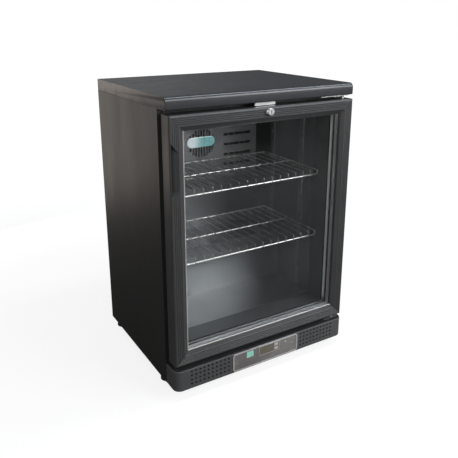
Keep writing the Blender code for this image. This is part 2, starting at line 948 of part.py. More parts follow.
def make_glazing(door):
    """Two panes with an aluminium spacer between them, held in the frame's channel."""
    edge = 0.0290
    low = (-DOOR_HALF_WIDTH + edge, DOOR_BOTTOM + edge)
    high = (DOOR_HALF_WIDTH - edge, DOOR_TOP - edge)
    panes = {"glass_outer": (0.0100, 0.0140), "glass_inner": (0.0265, 0.0303)}
    for name, (front, back) in panes.items():
        pane = box(
            name,
            (low[0], DOOR_FRONT + front, low[1]),
            (high[0], DOOR_FRONT + back, high[1]),
            CLEAR_GLASS,
        )
        hold(pane, door)
    rim = 0.0135
    spacer = prism(
        "glass_spacer",
        rectangle((low[0] + 0.001, low[1] + 0.001), (high[0] - 0.001, high[1] - 0.001)),
        "Y",
        DOOR_FRONT + 0.0143,
        DOOR_FRONT + 0.0262,
        ALUMINIUM,
        holes=[rectangle((low[0] + rim, low[1] + rim), (high[0] - rim, high[1] - rim))],
    )
    hold(spacer, door)


def make_gasket(door):
    """The magnetic seal on the back of the door, round the mouth of the compartment."""
    inner = 0.001
    outer = 0.012
    gasket = prism(
        "door_gasket",
        rectangle(
            (-ROOM_HALF_WIDTH - outer, ROOM_FLOOR - outer),
            (ROOM_HALF_WIDTH + outer, ROOM_CEILING + outer),
        ),
        "Y",
        DOOR_BACK + GAP,
        BREAKER_FRONT - GAP,
        GREY_VINYL,
        holes=[
            rectangle(
                (-ROOM_HALF_WIDTH - inner, ROOM_FLOOR - inner),
                (ROOM_HALF_WIDTH + inner, ROOM_CEILING + inner),
            )
        ],
    )
    add_bevel(gasket, 0.0015, 1, 50)
    hold(gasket, door)


def make_closer(door):
    """The torsion bar in the hinge stile that pulls the door shut."""
    low, high = 0.1256, 0.700
    bar = cylinder(
        "closer_torsion_bar",
        "Z",
        (HINGE_X, HINGE_Y, (low + high) / 2),
        0.003,
        high - low,
        ZINC,
        sides=8,
    )
    hold(bar, door)


def make_badge(door):
    """A plain oval plate on the outer pane."""
    glass = DOOR_FRONT + 0.0100
    badge = prism(
        "door_badge",
        rounded_rectangle((-0.242, 0.7135), (-0.164, 0.7395), 0.0125, 5),
        "Y",
        glass - 0.0011,
        glass - GAP,
        BADGE_TEAL,
    )
    hold(badge, door)


def make_lock(door):
    """Cam lock: an oval flanged collar fixed in the rail, and the key plug with the cam on its end."""
    head, collar = FRONT, DOOR_FRONT - GAP
    tail = LOCK_CAM_FRONT - 0.0009
    plug_radius = 0.0060
    bore = plug_radius + 0.0003
    # Heights run along the lock's axis, towards the front.
    profile = [
        (bore, 0.0080),
        (0.0088, 0.0080),
        (0.0097, 0.0070),
        (0.0100, DOOR_FRONT - collar),
        (0.0085, DOOR_FRONT - collar),
        (0.0085, DOOR_FRONT - tail),
        (bore, DOOR_FRONT - tail),
    ]
    housing = turned("lock_housing", profile, LOCK_AXIS, ZINC, axis="Y", steps=24)
    angles = [2 * math.pi * k / 32 for k in range(32)]
    oval = [
        (LOCK_X + 0.0130 * math.cos(a), LOCK_Z + 0.0084 * math.sin(a)) for a in angles
    ]
    flange = prism(
        "lock_flange",
        oval,
        "Y",
        collar - 0.0040,
        collar,
        holes=[circle((LOCK_X, LOCK_Z), 0.0078, 24)],
    )
    join(housing, flange)
    hold(housing, door)
    turning = hold(axis_empty("lock_axis", LOCK_AXIS), door)
    plug = cylinder(
        "lock_plug",
        "Y",
        (LOCK_X, (head + 0.0006 + LOCK_CAM_FRONT - GAP) / 2, LOCK_Z),
        plug_radius,
        LOCK_CAM_FRONT - GAP - head - 0.0006,
        CHROME,
    )
    key_slot = box(
        "key_slot",
        (LOCK_X - 0.0009, head - 0.002, LOCK_Z - 0.0038),
        (LOCK_X + 0.0009, head + 0.005, LOCK_Z + 0.0038),
    )
    cut(plug, key_slot)
    hold(plug, turning)
    reach, half = 0.0205, 0.0045
    cam_outline = arc((LOCK_X, LOCK_Z), 0.0065, 45, 315, 10) + [
        (LOCK_X + reach, LOCK_Z - half),
        (LOCK_X + reach, LOCK_Z + half),
    ]
    cam = prism(
        "lock_cam", cam_outline, "Y", LOCK_CAM_FRONT, LOCK_CAM_FRONT + 0.0020, ZINC
    )
    hold(cam, turning)


# ---------------------------------------------------------------- cold compartment fittings


def wire_shelf(name, level):
    """A welded wire shelf: a rim, thin wires that turn down at the front, and a lower front rod."""
    rim, wire = 0.0025, 0.0014
    half = SHELF_HALF_WIDTH
    drop = 0.013
    rods = [
        ((-half, SHELF_BACK, 0), (half, SHELF_BACK, 0)),
        ((-half, -0.020, 0), (half, -0.020, 0)),
        ((-half, SHELF_FRONT, -drop), (half, SHELF_FRONT, -drop)),
        ((-half, SHELF_BACK, 0), (-half, SHELF_FRONT, 0), (-half, SHELF_FRONT, -drop)),
        ((half, SHELF_BACK, 0), (half, SHELF_FRONT, 0), (half, SHELF_FRONT, -drop)),
    ]
    pieces = [tube(f"{name}_rod", points, rim, CHROME, sides=6) for points in rods]
    wires = 16
    above = rim + wire - 0.0009
    for i in range(wires):
        x = -half + 2 * half * (i + 1) / (wires + 1)
        route = [
            (x, SHELF_BACK - 0.001, above),
            (x, SHELF_FRONT - above, above),
            (x, SHELF_FRONT - above, -drop - 0.001),
        ]
        pieces.append(tube(f"{name}_wire", route, wire, CHROME, sides=6))
    pieces = [as_mesh(piece) for piece in pieces]
    shelf = pieces[0]
    join(shelf, *pieces[1:])
    solid = as_mesh(shelf)
    for helper in pieces[1:]:
        bpy.data.objects.remove(helper)
    solid.name = name
    solid.data.name = name
    solid.location.z = level
    finish_smooth(solid)
    return solid


def finish_smooth(obj):
    obj.data.shade_smooth()
    obj.data.set_sharp_from_angle(angle=math.radians(50))


def make_shelves():
    """Two equal wire shelves on one mesh."""
    names = list(SHELF_LEVELS)
    first = wire_shelf(names[0], SHELF_LEVELS[names[0]])
    second = bpy.data.objects.new(names[1], first.data)
    second.location = first.location
    second.location.z = SHELF_LEVELS[names[1]]
    PARTS.objects.link(second)


def make_pilasters():
    """Slotted strips on the side walls that carry the shelf clips, all on one mesh."""
    width, low, high = 0.018, 0.150, 0.760
    slots = []
    height = low + 0.020
    while height < high - 0.020:
        slots.append(rectangle((-0.0035, height), (0.0035, height + 0.008)))
        height += 0.040
    first = None
    for side, side_name in ((-1, "left"), (1, "right")):
        for y, depth_name in ((-0.062, "front"), (0.095, "rear")):
            name = f"pilaster_{side_name}_{depth_name}"
            strip_low = low if depth_name == "front" else STEP_TOP + 0.010
            if depth_name == "rear":
                strip_slots = [s for s in slots if s[0][1] > strip_low + 0.005]
            else:
                strip_slots = slots
            strip = prism(
                name,
                rectangle((-width / 2, strip_low), (width / 2, high)),
                "X",
                -0.0015,
                0.0015,
                GALVANISED,
                holes=strip_slots,
            )
            strip.location = (side * (ROOM_HALF_WIDTH - GAP - 0.0015), y, 0)
            first = first or strip


def grille_slots(name, centre, radius, pitch, width, span):
    """Vertical slots that together fill a circle, as one cutter."""
    count = int(radius / pitch)
    bars = []
    for i in range(-count, count + 1):
        offset = i * pitch
        half = math.sqrt(radius**2 - offset**2)
        low = (centre[0] + offset - width / 2, span[0], centre[2] - half)
        high = (centre[0] + offset + width / 2, span[1], centre[2] + half)
        bars.append(box("bar", low, high))
    return merged(name, bars)


def make_evaporator():
    """Fan-blown evaporator on the back wall, behind a slotted cover."""
    front, back = EVAPORATOR_FRONT, ROOM_BACK - GAP
    half, low, high = 0.215, 0.505, 0.760
    cover = box("evaporator_cover", (-half, front, low), (half, back, high), ALUMINIUM)
    inside = box(
        "evaporator_hollow",
        (-half + SHEET, front + SHEET, low + SHEET),
        (half - SHEET, back + 0.01, high - SHEET),
    )
    outlet = grille_slots(
        "fan_slots", EVAPORATOR_FAN, 0.048, 0.010, 0.0062, (front - 0.01, front + 0.01)
    )
    louvres = []
    for side in (-1, 1):
        for row in range(5):
            z = 0.545 + row * 0.034
            low_x, high_x = sorted((side * 0.085, side * 0.190))
            louvres.append(
                box("louvre", (low_x, front - 0.01, z), (high_x, front + 0.01, z + 0.008))
            )
    cut(cover, inside, outlet, merged("louvres", louvres))
    fins = comb(half * 2 - 0.050, 0.031, 18, 0.0016, 0.004)
    coil = prism("evaporator_coil", fins, "Z", 0.520, 0.748, ALUMINIUM)
    coil.location.x = -half + 0.025
    coil.location.y = 0.2060
    cylinder(
        "evaporator_fan_motor",
        "Y",
        (EVAPORATOR_FAN[0], EVAPORATOR_FAN[1] + 0.0125, EVAPORATOR_FAN[2]),
        0.020,
        0.012,
        BLACK_PLASTIC,
    )


def comb(length, depth, fins, fin_width, spine):
    """Plan outline of a finned block: a spine along +X with fins that reach towards -Y."""
    pitch = (length - fin_width) / (fins - 1)
    outline = [(0, 0)]
    for i in range(fins):
        left = i * pitch
        outline += [(left, -spine), (left, -depth)] if i else [(0, -depth)]
        outline += [(left + fin_width, -depth), (left + fin_width, -spine)]
    outline[-1] = (length, 0)
    return outline


def fan_blade(name, radius, place, axis, finish_material):
    """A hub with five pitched blades, its origin on the axis."""
    hub = cylinder(name, "Z", (0, 0, 0), radius * 0.28, 0.009, finish_material)
    blades = []
    for i in range(5):
        shape = bmesh.new()
        bmesh.ops.create_cube(shape, size=1.0)
        bmesh.ops.scale(shape, vec=(radius * 0.80, radius * 0.50, 0.0016), verts=shape.verts)
        bmesh.ops.translate(shape, vec=(radius * 0.58, 0, 0), verts=shape.verts)
        pitch = Matrix.Rotation(math.radians(16), 3, "X")
        spread = Matrix.Rotation(math.radians(72 * i), 3, "Z")
        bmesh.ops.rotate(shape, cent=(0, 0, 0), matrix=spread @ pitch, verts=shape.verts)
        blades.append(from_bmesh(f"{name}_blade", shape))
    join(hub, *blades)
    solid = as_mesh(hub)
    for blade in blades:
        bpy.data.objects.remove(blade)
    solid.name = name
    finish_smooth(solid)
    solid.rotation_euler = AXIS_TURNS[axis].to_euler()
    solid.location = place
    return solid


def make_light():
    """A slim lamp under the ceiling, just inside the door."""
    top = ROOM_CEILING - GAP
    box(
        "light_housing",
        (-0.200, -0.180, top - 0.014),
        (0.200, -0.152, top),
        WHITE_PLASTIC,
        bevel=0.001,
        segments=1,
    )
    box(
        "light_lens",
        (-0.192, -0.177, top - 0.021),
        (0.192, -0.155, top - 0.014 - GAP),
        WHITE_PLASTIC,
        bevel=0.003,
    )


# ---------------------------------------------------------------- machine compartment


def make_compressor():
    """A welded can on a foot plate with four rubber bushes."""
    radius = COMPRESSOR_RADIUS
    low, high = 0.046, 0.192
    dome = arc((radius - 0.020, high - 0.034), 0.020, 90, 0, 4)
    base = arc((radius - 0.012, low + 0.012), 0.012, 0, -90, 3)
    profile = [(0, high)] + [(0.030, high - 0.003)]
    profile += [(r, z) for r, z in dome] + [(r, z) for r, z in base] + [(0, low)]
    compressor = as_mesh(
        turned(
            "compressor",
            profile,
            (COMPRESSOR_X, COMPRESSOR_Y, 0),
            BLACK_ENAMEL,
            steps=28,
        )
    )
    plate = box(
        "compressor_plate",
        (COMPRESSOR_X - 0.075, COMPRESSOR_Y - 0.055, 0.0425),
        (COMPRESSOR_X + 0.075, COMPRESSOR_Y + 0.055, 0.0475),
    )
    bushes = [
        cylinder(
            "bush",
            "Z",
            (
                COMPRESSOR_X + sx * 0.064,
                COMPRESSOR_Y + sy * 0.044,
                (MACHINE_FLOOR + 0.044) / 2,
            ),
            0.008,
            0.044 - MACHINE_FLOOR,
            sides=12,
        )
        for sx in (-1, 1)
        for sy in (-1, 1)
    ]
    join(compressor, plate, *bushes)
    finish_smooth(compressor)


def make_condenser():
    """Finned coil, its shroud, and the fan motor on a post."""
    fins = comb(0.142, 0.055, 15, 0.0016, 0.004)
    # Seen along Y, the fins lie level and the spine stands at the left.
    outline = [(-0.284 - y, 0.0495 + x) for x, y in fins]
    prism("condenser_coil", outline, "Y", 0.118, 0.228, ALUMINIUM)
    prism(
        "condenser_shroud",
        rectangle((0.112, MACHINE_FLOOR), (0.234, 0.205)),
        "X",
        -0.2235,
        -0.2220,
        GALVANISED,
        holes=[circle((CONDENSER_FAN[1], CONDENSER_FAN[2]), 0.054, 28)],
    )
    x, y, z = CONDENSER_FAN
    motor = cylinder(
        "condenser_fan_motor", "X", (x + 0.034, y, z), 0.022, 0.052, BLACK_PLASTIC
    )
    post = box(
        "motor_post",
        (x + 0.022, y - 0.007, MACHINE_FLOOR),
        (x + 0.036, y + 0.007, z),
    )
    join(motor, post)


def make_refrigerant_parts():
    """Filter drier, discharge pipe, suction pipe and the tray that evaporates the defrost water."""
    turned(
        "filter_drier",
        [
            (0, 0.050),
            (0.004, 0.048),
            (0.010, 0.036),
            (0.010, -0.036),
            (0.004, -0.048),
            (0, -0.050),
        ],
        (-0.030, 0.205, 0.085),
        COPPER,
        axis="X",
        steps=12,
    )
    shell = COMPRESSOR_X - COMPRESSOR_RADIUS
    tube(
        "discharge_pipe",
        [
            (shell - 0.0015, COMPRESSOR_Y, 0.110),
            (0.085, COMPRESSOR_Y, 0.110),
            (0.060, 0.120, 0.060),
            (-0.060, 0.104, 0.055),
            (-0.250, 0.104, 0.055),
            (-0.250, 0.1174, 0.055),
        ],
        0.003,
        COPPER,
        corner=0.010,
    )
    tube(
        "suction_pipe",
        [
            (shell - 0.0015, COMPRESSOR_Y + 0.010, 0.150),
            (0.080, COMPRESSOR_Y + 0.010, 0.150),
            (PIPE_X, 0.200, 0.190),
            (PIPE_X, PIPE_Y, 0.250),
            (PIPE_X, PIPE_Y, PIPE_Z),
            (PIPE_X, 0.2068, PIPE_Z),
        ],
        0.004,
        COPPER,
        corner=0.012,
    )
    tray = box("drip_tray", (0.085, 0.105, 0.196), (0.285, 0.225, 0.222), BLACK_PLASTIC)
    hollow = box("tray_hollow", (0.087, 0.107, 0.198), (0.283, 0.223, 0.232))
    cut(tray, hollow)


def make_rear_grille():
    """The louvred cover of the machine compartment, set in from the back."""
    half = WIDTH / 2 - 2 * SHEET - 2 * GAP
    low, high = MACHINE_FLOOR, MACHINE_TOP - 0.001
    slots = []
    for side in (-1, 1):
        for row in range(7):
            z = 0.085 + row * 0.024
            low_x, high_x = sorted((side * 0.030, side * 0.260))
            slots.append(rectangle((low_x, z), (high_x, z + 0.008)))
    gland_hole = circle(GLAND_PLACE, 0.0083, 16)
    prism(
        "rear_grille",
        rectangle((-half, low), (half, high)),
        "Y",
        REAR_GRILLE,
        REAR_GRILLE + SHEET,
        GALVANISED,
        holes=[*slots, gland_hole],
    )


def make_cable_gland():
    """The strain relief where the mains lead goes in."""
    inside, outside = REAR_GRILLE - 0.006, BACK
    flange = REAR_GRILLE + SHEET + GAP
    profile = [
        (0.0040, BACK - inside),
        (0.0080, BACK - inside),
        (0.0080, BACK - flange),
        (0.0120, BACK - flange),
        (0.0120, BACK - flange - 0.004),
        (0.0080, BACK - flange - 0.005),
        (0.0070, BACK - outside),
        (0.0040, BACK - outside),
    ]
    turned(
        "cable_gland",
        profile,
        (GLAND_PLACE[0], BACK, GLAND_PLACE[1]),
        BLACK_PLASTIC,
        axis="Y",
        steps=16,
    )


# ---------------------------------------------------------------- feet


def foot_places():
    return [(x, y) for x in (-0.274, 0.274) for y in (-0.130, 0.228)]


def make_feet():
    """Screw feet, each with its stud through the base pan."""
    top = FOOT_HEIGHT - 0.0003
    profile = [
        (0, 0.048),
        (0.004, 0.048),
        (0.004, top),
        (0.0095, top),
        (0.0095, 0.013),
        (0.0155, 0.010),
        (0.0170, 0.007),
        (0.0170, 0.002),
        (0.0155, 0.0),
        (0, 0.0),
    ]
    names = ["left_front", "left_rear", "right_front", "right_rear"]
    for name, (x, y) in zip(names, foot_places()):
        turned(f"foot_{name}", profile, (x, y, 0), BLACK_PLASTIC, steps=16)


# ---------------------------------------------------------------- assembly


def main():
    make_worktop()
    make_side_panel("side_panel_left", -1)
    make_side_panel("side_panel_right", 1)
    make_back_panel()
    make_base_pan()
    make_foam()
    make_liner()
    make_breaker_frame()
    make_strike_plate()
    make_hinge_brackets()
    make_hinge_pins()

    make_plinth()
    make_control_panel()
    make_temperature_display()
    make_keys()
    make_power_switch()

    door = axis_empty("door_axis", (HINGE_X, HINGE_Y, DOOR_BOTTOM))
    make_door_frame(door)
    make_glazing(door)
    make_gasket(door)
    make_closer(door)
    make_badge(door)
    make_lock(door)

    make_shelves()
    make_pilasters()
    make_evaporator()
    fan_blade("evaporator_fan_blade", 0.043, EVAPORATOR_FAN, "Y", WHITE_PLASTIC)
    make_light()

    make_compressor()
    make_condenser()
    fan_blade("condenser_fan_blade", 0.050, CONDENSER_FAN, "X", ALUMINIUM)
    make_refrigerant_parts()
    make_rear_grille()
    make_cable_gland()
    make_feet()


main()
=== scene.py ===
"""Looks of the undercounter refrigerator: materials, fine parts, stage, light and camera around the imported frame."""

import math

import bmesh
import bpy
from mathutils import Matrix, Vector


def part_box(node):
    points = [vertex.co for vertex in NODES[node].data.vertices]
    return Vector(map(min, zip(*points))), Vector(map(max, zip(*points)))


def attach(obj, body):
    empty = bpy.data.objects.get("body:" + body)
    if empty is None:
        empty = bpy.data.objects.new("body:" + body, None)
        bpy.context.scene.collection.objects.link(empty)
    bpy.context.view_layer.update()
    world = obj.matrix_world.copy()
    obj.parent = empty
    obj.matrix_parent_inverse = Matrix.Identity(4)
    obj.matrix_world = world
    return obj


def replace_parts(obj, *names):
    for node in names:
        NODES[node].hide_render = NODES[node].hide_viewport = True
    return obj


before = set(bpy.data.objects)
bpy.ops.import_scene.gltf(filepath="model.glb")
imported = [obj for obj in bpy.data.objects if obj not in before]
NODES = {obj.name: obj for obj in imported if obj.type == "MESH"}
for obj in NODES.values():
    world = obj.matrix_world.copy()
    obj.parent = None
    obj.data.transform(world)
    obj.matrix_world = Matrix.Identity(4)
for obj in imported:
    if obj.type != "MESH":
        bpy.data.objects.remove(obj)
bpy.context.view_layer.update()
GASKET_WIDTH = 0.011
RANGE_KEYS = ("From Min", "From Max", "To Min", "To Max")

# ---------------------------------------------------------------- material helpers


class Shader:
    """A material under construction: each method adds one node and returns its output socket."""

    def __init__(self, name):
        self.material = bpy.data.materials.new(name)
        self.material.use_nodes = True
        self.tree = self.material.node_tree
        self.principled = self.tree.nodes["Principled BSDF"]
        self.output = self.tree.nodes["Material Output"]
        self.position = self.add("ShaderNodeTexCoord").outputs["Object"]

    def add(self, kind, **settings):
        """A new node of this kind, with its settings."""
        node = self.tree.nodes.new(kind)
        for key, value in settings.items():
            setattr(node, key, value)
        return node

    def feed(self, socket, value):
        """Links another node's output to the socket, or sets a plain value on it."""
        if isinstance(value, bpy.types.NodeSocket):
            self.tree.links.new(value, socket)
        elif isinstance(value, tuple) and len(value) == 3 and socket.type == "RGBA":
            socket.default_value = (*value, 1.0)
        else:
            socket.default_value = value

    def noise(self, scale, detail=3.0, roughness=0.55, distortion=0.0, stretch=None):
        """Soft noise; stretch scales the object's coordinates along each axis first."""
        place = self.position
        if stretch:
            mapping = self.add("ShaderNodeMapping")
            self.feed(mapping.inputs["Vector"], place)
            mapping.inputs["Scale"].default_value = stretch
            place = mapping.outputs["Vector"]
        node = self.add("ShaderNodeTexNoise")
        self.feed(node.inputs["Vector"], place)
        node.inputs["Scale"].default_value = scale
        node.inputs["Detail"].default_value = detail
        node.inputs["Roughness"].default_value = roughness
        node.inputs["Distortion"].default_value = distortion
        return node.outputs["Fac"]

    def cells(self, scale):
        """Distance to the nearest of many scattered points."""
        node = self.add("ShaderNodeTexVoronoi")
        self.feed(node.inputs["Vector"], self.position)
        node.inputs["Scale"].default_value = scale
        return node.outputs["Distance"]

    def remap(self, value, low, high, to_low, to_high):
        """A smooth step from to_low, where the value is low, to to_high, where it is high."""
        node = self.add("ShaderNodeMapRange")
        node.interpolation_type = "SMOOTHSTEP"
        self.feed(node.inputs["Value"], value)
        for key, number in zip(RANGE_KEYS, (low, high, to_low, to_high)):
            self.feed(node.inputs[key], number)
        return node.outputs["Result"]

    def math(self, operation, *values):
        """A sum, product or the like of plain values and other nodes' outputs."""
        node = self.add("ShaderNodeMath", operation=operation)
        for socket, value in zip(node.inputs, values):
            self.feed(socket, value)
        return node.outputs[0]

    def mix(self, factor, low, high):
        """Colour low where the factor is 0, and high where it is 1."""
        node = self.add("ShaderNodeMix", data_type="RGBA")
        self.feed(node.inputs[0], factor)
        self.feed(node.inputs[6], low)
        self.feed(node.inputs[7], high)
        return node.outputs[2]

    def axis(self, letter):
        """One of the object's own coordinates, in metres."""
        node = self.add("ShaderNodeSeparateXYZ")
        self.feed(node.inputs[0], self.position)
        return node.outputs[letter]

    def bump(self, height, distance, strength=1.0, after=None):
        """A normal bent by the height's slope; after is the normal it starts from."""
        node = self.add("ShaderNodeBump")
        self.feed(node.inputs["Height"], height)
        node.inputs["Distance"].default_value = distance
        node.inputs["Strength"].default_value = strength
        if after is not None:
            self.feed(node.inputs["Normal"], after)
        return node.outputs["Normal"]

    def grey(self, factor, low, high):
        """A neutral tone between two brightnesses."""
        return self.mix(factor, (low, low, low), (high, high, high))

    def tinted(self, colour, tone):
        """The colour times a varying tone."""
        node = self.add("ShaderNodeVectorMath", operation="SCALE")
        node.inputs[0].default_value = colour
        self.feed(node.inputs["Scale"], tone)
        return node.outputs[0]

    def finish(self, **sockets):
        """Sets the Principled sockets by name, with _ for a space, and returns the material."""
        for key, value in sockets.items():
            self.feed(self.principled.inputs[key.replace("_", " ")], value)
        return self.material


def satin(name, colour, roughness, grain, grain_depth, cloud=0.12, specular=0.5):
    """A painted or moulded surface: a fine grain, slow clouds of tone and wiped patches in its gloss."""
    s = Shader(name)
    clouds = s.noise(5.0, 4.0, 0.6)
    speck = s.noise(grain, 2.0, 0.5)
    tone = s.math("ADD", s.remap(clouds, 0.3, 0.7, 1 - cloud, 1 + cloud), s.remap(speck, 0.3, 0.7, -0.06, 0.06))
    wiped = s.remap(s.noise(9.0, 5.0, 0.62, 0.6), 0.35, 0.7, roughness - 0.06, roughness + 0.06)
    return s.finish(
        Base_Color=s.tinted(colour, tone),
        Roughness=s.math("ADD", wiped, s.remap(speck, 0.2, 0.8, -0.03, 0.03)),
        Normal=s.bump(speck, grain_depth),
        Specular_IOR_Level=specular,
    )


def metal(name, colour, roughness, wear=0.10, depth=0.00002, scale=260.0):
    """Bare or plated metal, with a fine mottle and faint tarnish."""
    s = Shader(name)
    mottle = s.noise(scale, 3.0, 0.6)
    tarnish = s.noise(38.0, 5.0, 0.65, 0.4)
    tone = s.math("ADD", s.remap(tarnish, 0.3, 0.75, 1.0, 1.0 - wear), s.remap(mottle, 0.3, 0.7, -0.04, 0.04))
    dull = s.remap(tarnish, 0.3, 0.7, roughness, roughness + 0.10)
    return s.finish(
        Base_Color=s.tinted(colour, tone),
        Roughness=s.math("ADD", dull, s.remap(mottle, 0.3, 0.7, -0.03, 0.05)),
        Metallic=1.0,
        Normal=s.bump(mottle, depth),
    )


def side_paint():
    """Black coated steel sheet with a fine leather grain and vertical rolling streaks."""
    s = Shader("side_textured_paint")
    streaks = s.noise(150.0, 4.0, 0.6, stretch=(1.0, 1.0, 0.030))
    broad = s.noise(7.0, 3.0, 0.55, 0.3, stretch=(1.0, 1.0, 0.35))
    grain = s.cells(620.0)
    colour = s.mix(s.remap(streaks, 0.32, 0.7, 0.0, 1.0), (0.0165, 0.0160, 0.0154), (0.0195, 0.0188, 0.0180))
    colour = s.mix(s.remap(broad, 0.35, 0.7, 0.0, 0.5), colour, (0.0145, 0.0142, 0.0138))
    rough = s.math("ADD", s.remap(streaks, 0.3, 0.7, 0.445, 0.475), s.remap(broad, 0.3, 0.7, -0.02, 0.02))
    normal = s.bump(streaks, 0.00001, after=s.bump(grain, 0.00005))
    return s.finish(Base_Color=colour, Roughness=rough, Normal=normal, Specular_IOR_Level=0.5)


def worktop_finish():
    """Charcoal coating: satin, with a fine grain, faint rubbed marks on top and a smoother rounded nose."""
    s = Shader("worktop_charcoal")
    clouds = s.noise(6.0, 5.0, 0.6, 0.5)
    grain = s.noise(1100.0, 2.0, 0.5)
    rubbed = s.noise(22.0, 5.0, 0.7, 1.2, stretch=(0.5, 1.0, 1.0))
    colour = s.mix(s.remap(clouds, 0.3, 0.7, 0.0, 1.0), (0.0210, 0.0216, 0.0240), (0.0270, 0.0277, 0.0306))
    colour = s.mix(s.remap(rubbed, 0.55, 0.8, 0.0, 0.22), colour, (0.034, 0.034, 0.037))
    rough = s.math("ADD", s.remap(rubbed, 0.4, 0.75, 0.36, 0.46), s.remap(grain, 0.3, 0.7, -0.03, 0.03))
    low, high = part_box("worktop")
    sharp_corner = high.z - low.y
    toward_corner = s.math("SUBTRACT", s.axis("Z"), s.axis("Y"))
    nose = s.remap(toward_corner, sharp_corner - 0.0115, sharp_corner - 0.0080, 0.0, 1.0)
    rough = s.math("SUBTRACT", rough, s.math("MULTIPLY", nose, 0.13))
    return s.finish(Base_Color=colour, Roughness=rough, Normal=s.bump(grain, 0.00003))


def frame_plastic(name, stretch, tone=1.0, bevel=None):
    """Charcoal extrusion with draw lines along its length. Tone scales its brightness, which paints light into the
    brighter copies. Above the height bevel it is painted darker (painted shade) and duller.
    """
    s = Shader(name)
    draw = s.noise(420.0, 3.0, 0.6, stretch=stretch)
    grain = s.noise(1500.0, 1.0, 0.5)
    clouds = s.noise(7.0, 4.0, 0.6)
    colour = s.grey(s.remap(draw, 0.3, 0.7, 0.0, 1.0), 0.031 * tone, 0.041 * tone)
    cloudy = 0.024 * tone
    colour = s.mix(s.remap(clouds, 0.4, 0.75, 0.0, 0.4), colour, (cloudy, cloudy, cloudy))
    rough = s.math("ADD", s.remap(clouds, 0.3, 0.7, 0.38, 0.48), s.remap(grain, 0.3, 0.7, -0.03, 0.03))
    # painted shade: the inner bevel is darkened where shade falls on it
    if bevel:
        inside = s.remap(s.axis("Z"), bevel, bevel + 0.0006, 0.0, 1.0)
        colour = s.mix(inside, colour, (0.014, 0.014, 0.014))
        rough = s.math("ADD", rough, s.math("MULTIPLY", inside, 0.12))
    normal = s.bump(draw, 0.00002, after=s.bump(grain, 0.00002))
    return s.finish(Base_Color=colour, Roughness=rough, Normal=normal)


def breaker_vinyl():
    """A two-tone profile: black where it meets the gasket, grey on the return inside the mouth."""
    s = Shader("breaker_vinyl")
    speck = s.noise(900.0, 2.0, 0.5)
    clouds = s.noise(6.0, 4.0, 0.6)
    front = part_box("breaker_frame")[0].y
    inside = s.remap(s.axis("Y"), front + 0.0012, front + 0.0024, 0.0, 1.0)
    grey = s.mix(s.remap(clouds, 0.3, 0.7, 0.0, 1.0), (0.075, 0.077, 0.080), (0.095, 0.097, 0.100))
    rough = s.math("ADD", s.remap(clouds, 0.3, 0.7, 0.28, 0.34), s.remap(speck, 0.2, 0.8, -0.03, 0.03))
    return s.finish(
        Base_Color=s.mix(inside, (0.014, 0.014, 0.015), grey),
        Roughness=s.math("ADD", rough, s.math("MULTIPLY", s.math("SUBTRACT", 1.0, inside), 0.25)),
        Normal=s.bump(speck, 0.00002),
    )


def gasket_vinyl():
    """Soft light grey vinyl with painted shade: the outer bellows is painted black for the shade it lies in, and the
    lip is painted darker along the bottom to hold down the light falling on it there.
    """
    s = Shader("gasket_vinyl")
    low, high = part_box("door_gasket")
    centre = (low.z + high.z) / 2
    across = s.math("SUBTRACT", s.math("ABSOLUTE", s.axis("X")), high.x - GASKET_WIDTH)
    upright = s.math("ABSOLUTE", s.math("SUBTRACT", s.axis("Z"), centre))
    upright = s.math("SUBTRACT", upright, high.z - centre - GASKET_WIDTH)
    lip_edge = 0.0068
    # painted shade: the outer bellows is black to stand for the shade it lies in
    outer = s.remap(s.math("MAXIMUM", across, upright), lip_edge, lip_edge + 0.0010, 0.0, 1.0)
    speck = s.noise(800.0, 2.0, 0.5)
    clouds = s.noise(12.0, 3.0, 0.55)
    grey = s.mix(s.remap(clouds, 0.3, 0.7, 0.0, 1.0), (0.68, 0.69, 0.70), (0.75, 0.76, 0.77))
    # painted shade: the lip is darker along the bottom, where light falls on its upward face
    bottom_painted_shade = s.remap(s.axis("Z"), low.z + 0.016, low.z + 0.034, 1.0, 0.0)
    grey = s.mix(bottom_painted_shade, grey, (0.20, 0.204, 0.21))
    return s.finish(
        Base_Color=s.mix(outer, grey, (0.020, 0.020, 0.021)),
        Roughness=s.math("ADD", s.remap(clouds, 0.3, 0.7, 0.42, 0.50), s.remap(speck, 0.3, 0.7, -0.03, 0.03)),
        Normal=s.bump(speck, 0.00003),
    )


def plinth_plastic():
    """Charcoal moulding whose upper face, in the shade of the door, is painted near black (painted shade) and made
    rougher.
    """
    s = Shader("plinth_charcoal")
    speck = s.noise(1300.0, 2.0, 0.5)
    clouds = s.noise(5.0, 4.0, 0.6)
    wiped = s.noise(9.0, 5.0, 0.62, 0.6)
    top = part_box("plinth_grille")[1].z
    # painted shade on the upper face
    shade = s.remap(s.axis("Z"), top - 0.0006, top - 0.0001, 0.0, 1.0)
    colour = s.mix(s.remap(clouds, 0.3, 0.7, 0.0, 1.0), (0.062, 0.062, 0.063), (0.082, 0.082, 0.083))
    rough = s.math("ADD", s.remap(wiped, 0.35, 0.7, 0.38, 0.50), s.remap(speck, 0.2, 0.8, -0.03, 0.03))
    return s.finish(
        Base_Color=s.mix(shade, colour, (0.010, 0.010, 0.010)),
        Roughness=s.math("ADD", rough, s.math("MULTIPLY", shade, 0.4)),
        Normal=s.bump(speck, 0.00004),
    )


